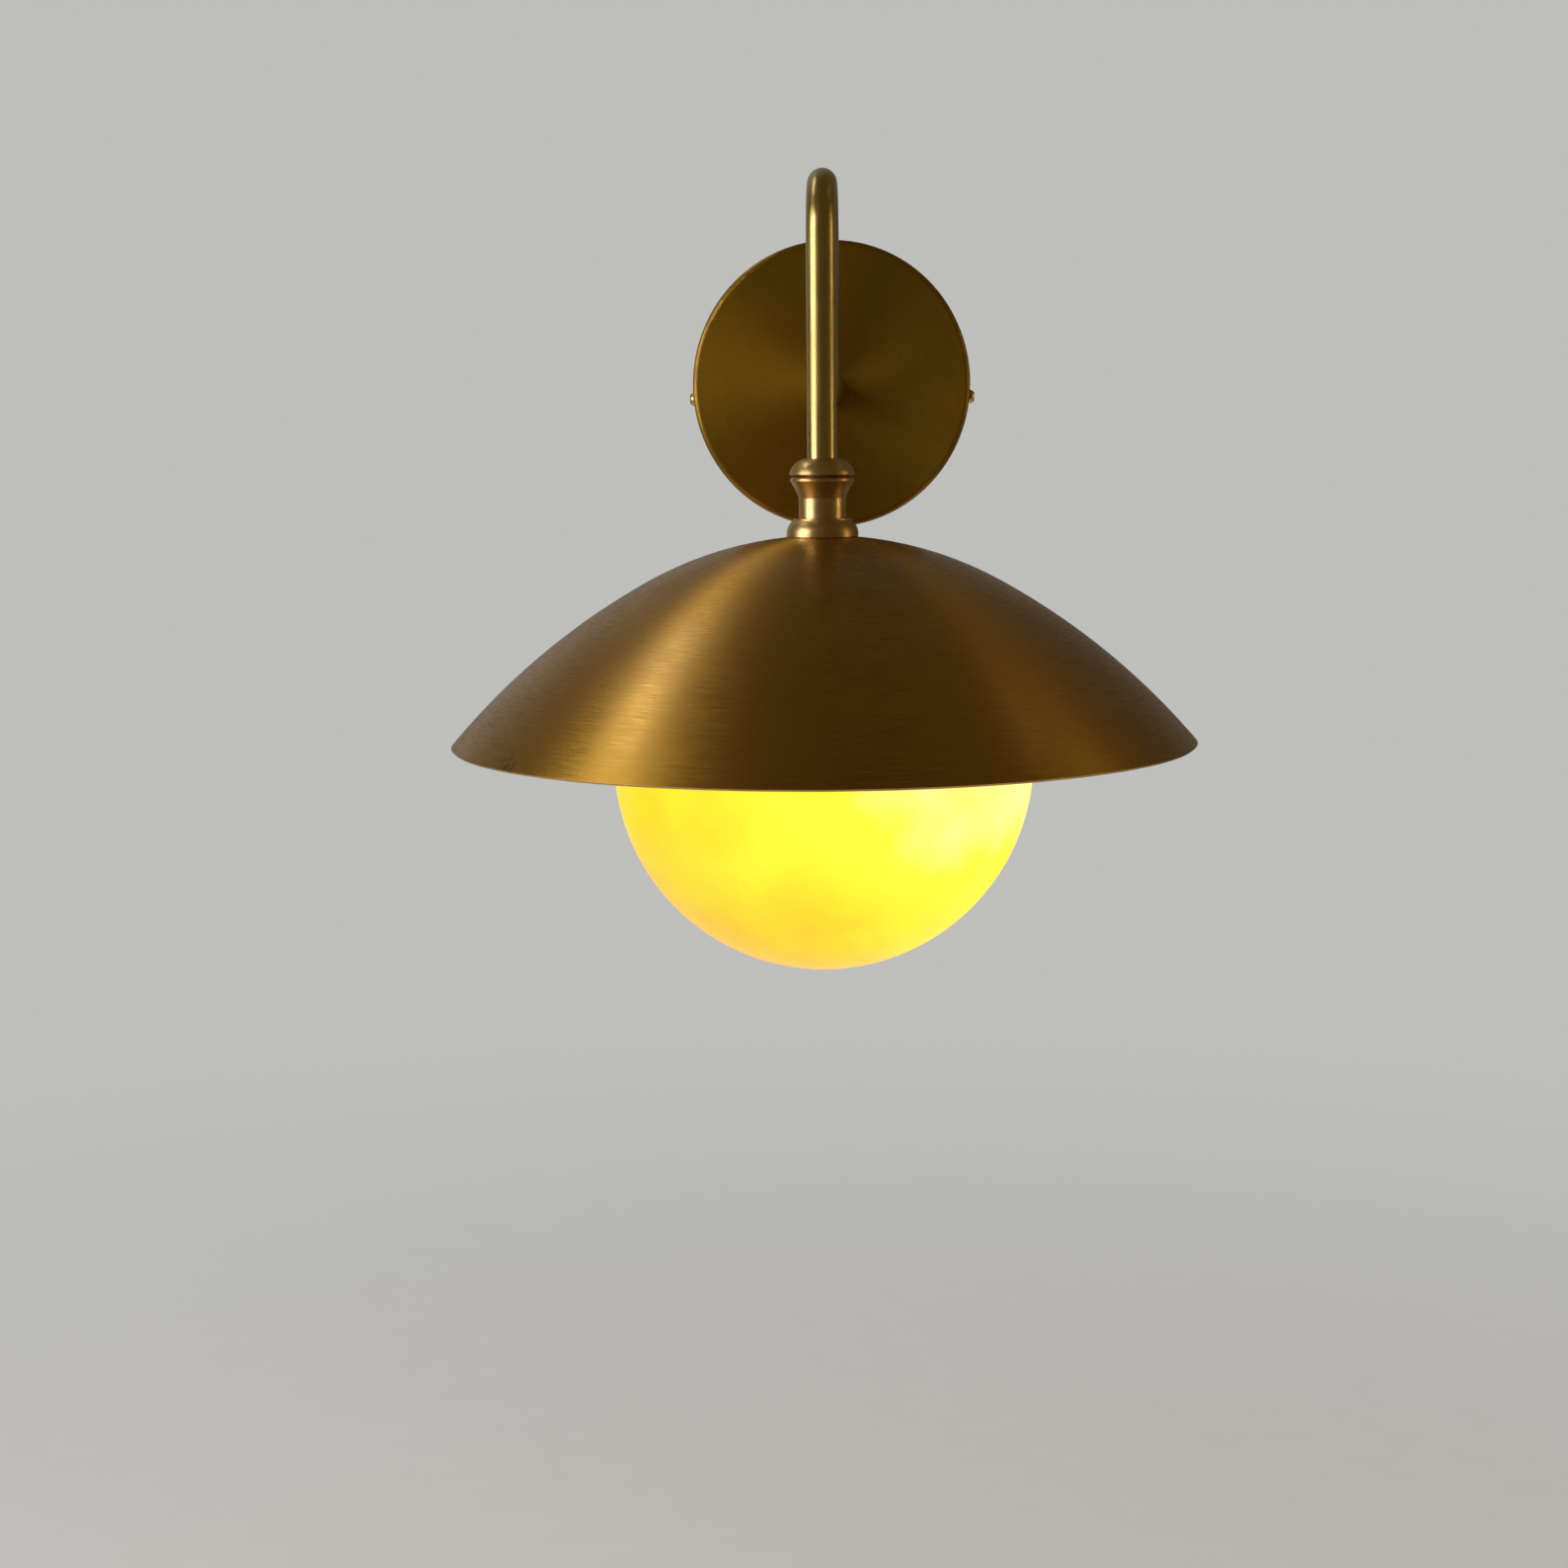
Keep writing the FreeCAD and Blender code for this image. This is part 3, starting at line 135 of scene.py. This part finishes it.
def make_draw_lines():
    """Fine lines along a tube that lies in the YZ plane, as drawing and polishing leave them."""
    tree, given, out = new_group("draw_lines", {"Place": "Vector", "Lines": "Float"}, {"Lines": "Float"})
    place = tree.add("ShaderNodeVectorMath", {
        0: given["Place"], 1: ALONG_THE_TUBE}, operation="MULTIPLY").outputs[0]
    tree.feed(out.inputs["Lines"], tree.noise(place, given["Lines"], 3.0, 0.6))


def make_tarnish():
    """Soft clouds of darker lacquer, and small dark specks and scratches in it."""
    tree, given, out = new_group(
        "tarnish", {"Place": "Vector", "Clouds": "Float", "Specks": "Float"},
        {"Clouds": "Float", "Specks": "Float"})
    clouds = tree.noise(given["Place"], given["Clouds"], 4.0, 0.55)
    specks = tree.noise(given["Place"], given["Specks"], 2.0, 0.5)
    tree.feed(out.inputs["Clouds"], tree.span(clouds, 0.34, 0.66, smooth=True))
    tree.feed(out.inputs["Specks"], tree.span(specks, 0.74, 0.80))


def make_fine_grain():
    """The skin of a moulded, fired or plated surface: a fine grain and a slow change of tone."""
    tree, given, out = new_group(
        "fine_grain", {"Place": "Vector", "Grain": "Float", "Tone": "Float"},
        {"Grain": "Float", "Tone": "Float"})
    tree.feed(out.inputs["Grain"], tree.noise(given["Place"], given["Grain"], 4.0, 0.6))
    tone = tree.noise(given["Place"], given["Tone"], 3.0, 0.5)
    tree.feed(out.inputs["Tone"], tree.span(tone, 0.3, 0.7))


def make_edge_wear_and_glint():
    """Marks the edges, where brass is rubbed bright and where a painted highlight runs along them: its
    rounded normal leaves the plain one there.
    """
    tree, given, out = new_group("edge_wear_and_glint", {"Width": "Float"}, {"Edge": "Float"})
    rounded = tree.add("ShaderNodeBevel", {"Radius": given["Width"]}, samples=4).outputs["Normal"]
    plain = tree.add("ShaderNodeNewGeometry").outputs["Normal"]
    meet = tree.add(
        "ShaderNodeVectorMath", {0: rounded, 1: plain}, operation="DOT_PRODUCT").outputs["Value"]
    tree.feed(out.inputs["Edge"], tree.span(meet, 0.995, 0.90))


for make in (make_brush_lines, make_draw_lines, make_tarnish, make_fine_grain, make_edge_wear_and_glint):
    make()


# ---------------------------------------------------------------- finishes

# how deep the lines in the metal go, in metres
BRUSHED_DEPTH = 0.00004
DRAWN_DEPTH = 0.00001


def new_finish(name):
    """An empty material with its shader. Returns the material, its tree and the shader's inputs."""
    finish = bpy.data.materials.new(name)
    finish.use_nodes = True
    tree = Tree(finish.node_tree)
    shader = next(n for n in finish.node_tree.nodes if n.type == "BSDF_PRINCIPLED")
    return finish, tree, shader.inputs


def scaled(tone, by):
    """A darker or lighter tone."""
    return tuple(min(1.0, by * part) for part in tone[:3]) + (1.0,)


def place_from(tree, axis=FRAME_ORIGIN, along="Z"):
    """A point's place from a turning axis, with that axis along Z."""
    point = tree.add("ShaderNodeTexCoord").outputs["Object"]
    place = tree.add("ShaderNodeVectorMath", {0: point, 1: axis}, operation="SUBTRACT").outputs[0]
    if along == "Z":
        return place
    part = tree.add("ShaderNodeSeparateXYZ", {0: place}).outputs
    return tree.add("ShaderNodeCombineXYZ", {0: part[0], 1: part[2], 2: part[1]}).outputs[0]


def around(tree, place, centre, radius):
    """1 at a point of the surface, falling to 0 at radius from it."""
    gap = tree.add("ShaderNodeVectorMath", {0: place, 1: centre}, operation="DISTANCE").outputs["Value"]
    return tree.span(gap, radius, 0.0, smooth=True)


def aged_brass(name, tones, axis, along="Z", streaks=0.0, lines=1500.0, drawn=False, roughness=0.40,
               stretch=0.80, brushed=0.75, coat=0.45, mark=None):
    """Brushed brass under a browned lacquer: circular brushing, or lines along the arm's tube."""
    light, dark, bright_line = tones
    finish, tree, shader = new_finish(name)
    place = place_from(tree, axis, along)
    if drawn:
        line = tree.group("draw_lines", {"Place": place, "Lines": lines})["Lines"]
    else:
        line = tree.group("brush_lines", {"Place": place, "Streaks": streaks, "Lines": lines})["Lines"]
    tarnish = tree.group("tarnish", {"Place": place, "Clouds": 14.0, "Specks": 420.0})
    edge = tree.group("edge_wear_and_glint", {"Width": 0.0006})["Edge"]
    tone = tree.tint(tarnish["Clouds"], light, dark)
    tone = tree.tint(tree.span(line, 0.30, 0.72, 0.0, brushed), tone, bright_line)
    tone = tree.tint(tree.calc("MULTIPLY", tarnish["Specks"], 0.35), tone, (0.120, 0.055, 0.012, 1.0))
    if mark:
        smudge = tree.calc("MULTIPLY", around(tree, place, Vector(mark) - Vector(axis), RIM_MARK_SIZE),
                           tree.span(tree.noise(place, 420.0, 4.0), 0.46, 0.58))
        tone = tree.tint(tree.calc("MULTIPLY", smudge, 0.70), tone, (0.110, 0.045, 0.010, 1.0))
    # edges: rubbed bright, and a painted highlight along them
    tone = tree.tint(tree.calc("MULTIPLY", edge, 0.6), tone, (0.800, 0.560, 0.200, 1.0))
    shine = tree.calc("ADD", tree.span(line, 0.28, 0.72, roughness + 0.10, roughness - 0.10),
                      tree.span(tarnish["Clouds"], 0.0, 1.0, -0.03, 0.05))
    tree.feed(shader["Base Color"], tone)
    tree.feed(shader["Roughness"], shine)
    depth = DRAWN_DEPTH if drawn else BRUSHED_DEPTH
    tree.feed(shader["Normal"], tree.add("ShaderNodeBump", {
        "Strength": 0.45, "Distance": depth, "Height": line}).outputs["Normal"])
    shader["Metallic"].default_value = 1.0
    if stretch:
        shader["Anisotropic"].default_value = stretch
        shader["Anisotropic Rotation"].default_value = 0.25
        tree.feed(shader["Tangent"], tree.add(
            "ShaderNodeTangent", direction_type="RADIAL", axis="Y" if along == "Y" else "Z").outputs[0])
    shader["Coat Weight"].default_value = coat
    shader["Coat Roughness"].default_value = 0.26
    return finish


def turned_metal(name, light, dark, roughness, axis=HEAD_AXIS, lines=2600.0, stretch=0.2):
    """Bare metal as it comes off the lathe, rubbed bright with a painted highlight at its edges, and duller
    in soft random clouds.
    """
    finish, tree, shader = new_finish(name)
    place = place_from(tree, axis)
    line = tree.group("brush_lines", {"Place": place, "Streaks": 5.0, "Lines": lines})["Lines"]
    tarnish = tree.group("tarnish", {"Place": place, "Clouds": 120.0, "Specks": 900.0})
    edge = tree.group("edge_wear_and_glint", {"Width": 0.0004})["Edge"]
    tone = tree.tint(tree.calc("MULTIPLY", tarnish["Clouds"], 0.75), light, dark)
    tone = tree.tint(tree.calc("MULTIPLY", tarnish["Specks"], 0.4), tone, scaled(dark, 0.25))
    # edges: rubbed bright, and a painted highlight along them
    tone = tree.tint(tree.calc("MULTIPLY", edge, 0.5), tone, scaled(light, 1.25))
    tree.feed(shader["Base Color"], tone)
    tree.feed(shader["Roughness"], tree.calc(
        "ADD", tree.span(line, 0.2, 0.8, roughness + 0.06, roughness - 0.05),
        tree.span(tarnish["Clouds"], 0.0, 1.0, -0.02, 0.08)))
    soft = tree.add("ShaderNodeBevel", {"Radius": 0.00025}, samples=4).outputs["Normal"]
    tree.feed(shader["Normal"], tree.add("ShaderNodeBump", {
        "Strength": 0.3, "Distance": DRAWN_DEPTH, "Height": line, "Normal": soft}).outputs["Normal"])
    shader["Metallic"].default_value = 1.0
    if stretch:
        shader["Anisotropic"].default_value = stretch
        shader["Anisotropic Rotation"].default_value = 0.25
        tree.feed(shader["Tangent"], tree.add(
            "ShaderNodeTangent", direction_type="RADIAL", axis="Z").outputs[0])
    return finish


def grained(name, light, dark, roughness, grain=900.0, depth=0.00003, metallic=0.0, coat=0.0):
    """A moulded, fired, plated or rolled surface with its own fine grain and tone."""
    finish, tree, shader = new_finish(name)
    place = place_from(tree)
    skin = tree.group("fine_grain", {"Place": place, "Grain": grain, "Tone": 60.0})
    tone = tree.tint(skin["Tone"], light, dark)
    # darker with the fine grain, at random
    darker_grain = tree.calc("MULTIPLY", skin["Grain"], 0.35, clamp=True)
    tree.feed(shader["Base Color"], tree.tint(darker_grain, tone, dark))
    tree.feed(shader["Roughness"], tree.span(skin["Grain"], 0.25, 0.75, roughness - 0.06, roughness + 0.08))
    tree.feed(shader["Normal"], tree.add("ShaderNodeBump", {
        "Strength": 0.4, "Distance": depth, "Height": skin["Grain"]}).outputs["Normal"])
    shader["Metallic"].default_value = metallic
    shader["Coat Weight"].default_value = coat
    shader["Coat Roughness"].default_value = 0.08
    return finish


def striped_core(name):
    """Green insulation with its yellow stripe along the wire."""
    finish, tree, shader = new_finish(name)
    place = place_from(tree)
    normal = tree.add("ShaderNodeNewGeometry").outputs["Normal"]
    side = tree.add("ShaderNodeSeparateXYZ", {0: normal}).outputs[0]
    skin = tree.group("fine_grain", {"Place": place, "Grain": 1500.0, "Tone": 90.0})
    stripe = tree.span(side, -0.08, 0.08)
    tone = tree.tint(stripe, (0.05, 0.30, 0.06, 1.0), (0.80, 0.62, 0.05, 1.0))
    tone = tree.tint(tree.calc("MULTIPLY", skin["Tone"], 0.2), tone, (0.04, 0.10, 0.03, 1.0))
    tree.feed(shader["Base Color"], tone)
    tree.feed(shader["Roughness"], tree.span(skin["Grain"], 0.25, 0.75, 0.38, 0.52))
    return finish


def lit_opal(name):
    """Cased opal glass lit from inside, its glow painted on: clear yellow, warmer below and at one side,
    with faint seeds.
    """
    finish, tree, shader = new_finish(name)
    place = place_from(tree, GLOBE_CENTRE)
    part = tree.add("ShaderNodeSeparateXYZ", {0: place}).outputs
    # painted glow: warmer towards the bottom and towards -X
    side = tree.calc("MULTIPLY", part[0], -0.42 / GLOBE_RADIUS)
    below = tree.calc("MULTIPLY", part[2], -0.62 / GLOBE_RADIUS)
    clouds = tree.span(tree.noise(place, 22.0, 3.0, 0.5), 0.3, 0.7, -0.16, 0.16)
    warmth = tree.calc("ADD", tree.calc("ADD", side, below), clouds)
    ramp = tree.add("ShaderNodeValToRGB", {0: tree.span(warmth, -0.5, 1.0)})
    stops = ramp.color_ramp.elements
    stops[0].color, stops[1].color = (0.62, 0.50, 0.300, 1.0), (0.52, 0.130, 0.006, 1.0)
    for at, tone in ((0.28, (0.62, 0.44, 0.022, 1.0)), (0.46, (0.62, 0.39, 0.012, 1.0)),
                     (0.64, (0.60, 0.26, 0.006, 1.0)), (0.82, (0.56, 0.175, 0.006, 1.0))):
        stops.new(at).color = tone
    seeds = tree.span(tree.noise(place, 330.0, 2.0, 0.5), 0.74, 0.80)
    glow = tree.tint(tree.calc("MULTIPLY", seeds, 0.35), ramp.outputs["Color"], (0.45, 0.26, 0.02, 1.0))
    tree.feed(shader["Base Color"], tree.tint(
        tree.noise(place, 22.0), (0.46, 0.34, 0.035, 1.0), (0.52, 0.36, 0.030, 1.0)))
    tree.feed(shader["Roughness"], tree.span(tree.noise(place, 90.0, 2.0), 0.3, 0.7, 0.10, 0.18))
    tree.feed(shader["Emission Color"], glow)
    shader["Emission Strength"].default_value = 2.0
    shader["Specular IOR Level"].default_value = 0.14
    tree.feed(shader["Normal"], tree.add("ShaderNodeBump", {
        "Strength": 0.15, "Distance": 0.0003, "Height": tree.noise(place, 40.0, 2.0)}).outputs["Normal"])
    return finish


def lit_bulb(name):
    """The bulb's frosted envelope, lit."""
    finish, tree, shader = new_finish(name)
    place = place_from(tree)
    frost = tree.noise(place, 1400.0, 3.0)
    tree.feed(shader["Base Color"], tree.tint(frost, (0.92, 0.90, 0.84, 1.0), (0.84, 0.81, 0.74, 1.0)))
    tree.feed(shader["Emission Color"], tree.tint(
        tree.noise(place, 50.0, 2.0), (1.0, 0.80, 0.45, 1.0), (1.0, 0.72, 0.34, 1.0)))
    shader["Emission Strength"].default_value = 1.0
    tree.feed(shader["Roughness"], tree.span(frost, 0.3, 0.7, 0.35, 0.5))
    tree.feed(shader["Normal"], tree.add("ShaderNodeBump", {
        "Strength": 0.2, "Distance": 0.00002, "Height": frost}).outputs["Normal"])
    return finish


# the lacquered brass where it is light, where it has browned, and in its brighter brushed lines
SHADE_TONES = ((0.540, 0.290, 0.028, 1.0), (0.390, 0.175, 0.014, 1.0), (0.720, 0.420, 0.070, 1.0))
# the canopy's tones are darker than the shade's: its own browner lacquer, and painted shade as well
CANOPY_TONES = ((0.390, 0.230, 0.014, 1.0), (0.300, 0.155, 0.008, 1.0), (0.470, 0.285, 0.032, 1.0))
ARM_TONES = ((0.580, 0.430, 0.120, 1.0), (0.470, 0.320, 0.070, 1.0), (0.780, 0.640, 0.260, 1.0))

shade_brass = aged_brass("shade_brass", SHADE_TONES, HEAD_AXIS, streaks=11.0, lines=1900.0, mark=RIM_MARK)
canopy_brass = aged_brass(
    "canopy_brass", CANOPY_TONES, CANOPY_AXIS, "Y", streaks=5.0, lines=2200.0, roughness=0.46,
    stretch=0.55, brushed=0.30)
arm_brass = aged_brass(
    "arm_brass", ARM_TONES, FRAME_ORIGIN, drawn=True, roughness=0.32, stretch=0.0, brushed=0.3, coat=0.9)

turned_brass = turned_metal(
    "turned_brass", (0.76, 0.54, 0.24, 1.0), (0.54, 0.32, 0.10, 1.0), 0.33)
small_brass = turned_metal(
    "small_brass", (0.74, 0.50, 0.18, 1.0), (0.52, 0.31, 0.09, 1.0), 0.26, stretch=0.0)

spun_brass = grained(
    "spun_gallery", (0.60, 0.38, 0.09, 1.0), (0.44, 0.26, 0.05, 1.0), 0.32, 700.0, 0.00002, metallic=1.0)
zinc = grained(
    "zinc_plate", (0.62, 0.64, 0.66, 1.0), (0.44, 0.46, 0.48, 1.0), 0.34, 320.0, 0.00002, metallic=1.0)
nickel = grained(
    "nickelled_shell", (0.74, 0.72, 0.68, 1.0), (0.56, 0.54, 0.50, 1.0), 0.28, 600.0, 0.00002, metallic=1.0)
solder = grained(
    "solder_tip", (0.62, 0.62, 0.62, 1.0), (0.42, 0.42, 0.42, 1.0), 0.45, 500.0, 0.00004, metallic=1.0)

red_fibre = grained(
    "red_fibre", (0.36, 0.11, 0.06, 1.0), (0.24, 0.06, 0.035, 1.0), 0.62, 1100.0, 0.00005)
rubber = grained(
    "gasket_rubber", (0.82, 0.81, 0.77, 1.0), (0.70, 0.68, 0.63, 1.0), 0.66, 1300.0, 0.00004)
sheath = grained(
    "flex_sheath", (0.84, 0.83, 0.79, 1.0), (0.74, 0.72, 0.66, 1.0), 0.46, 1300.0)
blue = grained(
    "blue_insulation", (0.05, 0.17, 0.55, 1.0), (0.03, 0.11, 0.40, 1.0), 0.42, 1500.0)
brown = grained(
    "brown_insulation", (0.25, 0.11, 0.04, 1.0), (0.17, 0.07, 0.025, 1.0), 0.42, 1500.0)
nylon = grained(
    "block_nylon", (0.86, 0.86, 0.82, 1.0), (0.76, 0.75, 0.69, 1.0), 0.44, 800.0)
thermoset = grained(
    "dark_thermoset", (0.060, 0.055, 0.050, 1.0), (0.030, 0.026, 0.024, 1.0), 0.36, 700.0, coat=0.2)
ceramic = grained(
    "fired_ceramic", (0.88, 0.87, 0.83, 1.0), (0.76, 0.74, 0.69, 1.0), 0.58, 1200.0, 0.00005)
black_glass = grained(
    "black_insulator", (0.030, 0.030, 0.032, 1.0), (0.014, 0.014, 0.015, 1.0), 0.16, 500.0, coat=0.5)
plastic = grained(
    "collar_plastic", (0.88, 0.88, 0.85, 1.0), (0.80, 0.79, 0.75, 1.0), 0.28, 700.0, coat=0.3)

FINISHES = {
    shade_brass: ("dome_shade",),
    canopy_brass: ("canopy",),
    arm_brass: ("arm_tube",),
    turned_brass: ("swivel_cap", "swivel_body", "shade_flange"),
    small_brass: (
        "canopy_screws", "arm_stud", "arm_nut", "swivel_nut", "threaded_rod", "rod_nut", "swivel_stop_pin",
        "thumbscrew_1", "thumbscrew_2", "thumbscrew_3", "terminal_screws", "lead_screws",
        "lampholder_contact"),
    spun_brass: ("gallery",),
    zinc: (
        "wall_bracket", "earth_screw", "earth_tag", "block_screws", "arm_washer", "rod_washer",
        "swivel_spring_washer"),
    nickel: ("lampholder_shell", "bulb_cap"),
    solder: ("bulb_contact",),
    red_fibre: ("swivel_washer",),
    rubber: ("globe_gasket",),
    sheath: ("arm_flex",),
    blue: ("neutral_core", "neutral_lead"),
    brown: ("live_core", "live_lead"),
    striped_core("green_yellow_insulation"): ("earth_core",),
    nylon: ("terminal_block",),
    thermoset: ("lampholder_cap", "lampholder_sleeve"),
    ceramic: ("lampholder_insert",),
    black_glass: ("bulb_insulator",),
    plastic: ("bulb_collar",),
    lit_opal("lit_opal"): ("opal_globe",),
    lit_bulb("lit_bulb"): ("bulb_envelope",),
}


def dress_nodes():
    """Puts each finish on the material slots of its pieces."""
    left = set(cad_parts)
    for finish, names in FINISHES.items():
        for name in names:
            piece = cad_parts[name]
            if not piece.material_slots:
                piece.data.materials.append(finish)
            for slot in piece.material_slots:
                slot.material = finish
            left.discard(name)
    if left:
        raise SystemExit("no finish for " + ", ".join(sorted(left)))


# ---------------------------------------------------------------- studio

def surround(tree, way):
    """What polished brass reflects from that way: dim in front of it and paler behind it."""
    part = tree.add("ShaderNodeSeparateXYZ", {0: way}).outputs
    behind = tree.tint(tree.span(part[0], -0.5, 0.5, smooth=True), BEHIND_LEFT, BEHIND_RIGHT)
    behind = tree.tint(tree.span(part[2], -0.25, -0.50, smooth=True), behind, BEHIND_BELOW)
    return tree.tint(tree.span(part[1], 0.30, 0.95, smooth=True), IN_FRONT, behind)


def make_floor():
    """A plain pale floor that runs out into the background."""
    shape = bmesh.new()
    bmesh.ops.create_circle(shape, cap_ends=True, radius=FLOOR_RADIUS, segments=96)
    mesh = bpy.data.meshes.new("floor")
    shape.to_mesh(mesh)
    shape.free()
    floor = bpy.data.objects.new("floor", mesh)
    floor.location.z = FLOOR_LEVEL
    bpy.context.collection.objects.link(floor)
    finish, tree, shader = new_finish("pale_floor")
    point = tree.add("ShaderNodeTexCoord").outputs["Object"]
    tree.feed(shader["Base Color"], tree.tint(
        tree.noise(point, 30.0), (0.78, 0.77, 0.75, 1.0), (0.74, 0.73, 0.71, 1.0)))
    shader["Roughness"].default_value = 0.9
    shader["Specular IOR Level"].default_value = 0.1
    out = next(n for n in finish.node_tree.nodes if n.type == "OUTPUT_MATERIAL")
    rays = tree.add("ShaderNodeLightPath").outputs
    reach = tree.add("ShaderNodeVectorMath", {0: point}, operation="LENGTH").outputs["Value"]
    way = tree.add("ShaderNodeVectorMath", {0: point}, operation="NORMALIZE").outputs[0]
    plain = tree.add("ShaderNodeEmission", {"Color": tree.tint(
        rays["Is Glossy Ray"], BACKGROUND, surround(tree, way))}).outputs[0]
    seen = tree.calc("MULTIPLY", tree.span(reach, *FLOOR_FADE, smooth=True),
                     tree.calc("MAXIMUM", rays["Is Camera Ray"], rays["Is Glossy Ray"]))
    lit = next(n for n in finish.node_tree.nodes if n.type == "BSDF_PRINCIPLED").outputs[0]
    mixed = tree.add("ShaderNodeMixShader", {0: seen, 1: lit, 2: plain}).outputs[0]
    tree.feed(out.inputs["Surface"], mixed)
    mesh.materials.append(finish)


def make_world():
    """The pale background for the camera, even light for dull surfaces and the surround for brass."""
    world = bpy.data.worlds.new("studio")
    bpy.context.scene.world = world
    world.use_nodes = True
    tree = Tree(world.node_tree)
    shade = next(n for n in world.node_tree.nodes if n.type == "BACKGROUND")
    reflected = surround(tree, tree.add("ShaderNodeTexCoord").outputs["Generated"])
    rays = tree.add("ShaderNodeLightPath").outputs
    light = tree.tint(rays["Is Diffuse Ray"], reflected, DULL_LIGHT)
    tree.feed(shade.inputs["Color"], tree.tint(rays["Is Camera Ray"], light, BACKGROUND))
    shade.inputs["Strength"].default_value = 1.0


def add_lamp(name, way, along, size, radiance, colour=(1.0, 1.0, 1.0)):
    """A soft rectangular lamp that way from the shade, its first side set along a direction."""
    back = Vector(way).normalized()
    side = Vector(along)
    side = (side - side.dot(back) * back).normalized()
    stand = Matrix((side, back.cross(side), back)).transposed().to_4x4()
    stand.translation = Vector(HEAD_AXIS) + LAMP_DISTANCE * back
    light = bpy.data.lights.new(name, "AREA")
    light.shape = "RECTANGLE"
    light.size, light.size_y = size
    light.energy = radiance * math.pi * light.size * light.size_y
    light.color = colour
    lamp = bpy.data.objects.new(name, light)
    lamp.matrix_world = stand
    lamp.visible_camera = False
    bpy.context.collection.objects.link(lamp)


def place_camera():
    """Stands the camera at its place, turned as its three angles say."""
    yaw, pitch, roll = (math.radians(a) for a in CAMERA_TURN)
    ahead = Vector((math.sin(yaw) * math.cos(pitch), math.cos(yaw) * math.cos(pitch), math.sin(pitch)))
    level = Vector((math.cos(yaw), -math.sin(yaw), 0.0))
    up = level.cross(ahead)
    right = math.cos(roll) * level + math.sin(roll) * up
    top = math.cos(roll) * up - math.sin(roll) * level
    stand = Matrix((right, top, -ahead)).transposed().to_4x4()
    stand.translation = CAMERA_PLACE
    view = bpy.data.cameras.new("camera")
    view.lens = CAMERA_LENS
    view.shift_y = CAMERA_SHIFT
    view.clip_start, view.clip_end = 0.05, 50.0
    camera = bpy.data.objects.new("camera", view)
    camera.matrix_world = stand
    bpy.context.collection.objects.link(camera)
    bpy.context.scene.camera = camera


place_camera()
dress_nodes()
make_floor()
make_world()
add_lamp("key_light", (-0.900, -0.435, 0.20), (0.435, -0.900, 0.0), (1.00, 1.20), 3.9)
add_lamp("fill_light", (0.998, -0.035, 0.10), (0.0, 1.0, 0.0), (0.26, 1.10), 2.2, (1.0, 0.78, 0.42))
add_lamp("high_key", (-0.53, 0.28, 0.80), (-0.42, -0.71, 0.0), (0.80, 0.20), 2.9)
add_lamp("high_fill", (0.62, 0.19, 0.76), (0.42, -0.71, 0.0), (0.40, 0.20), 0.3, (1.0, 0.78, 0.42))
bpy.context.scene.view_settings.view_transform = "Standard"
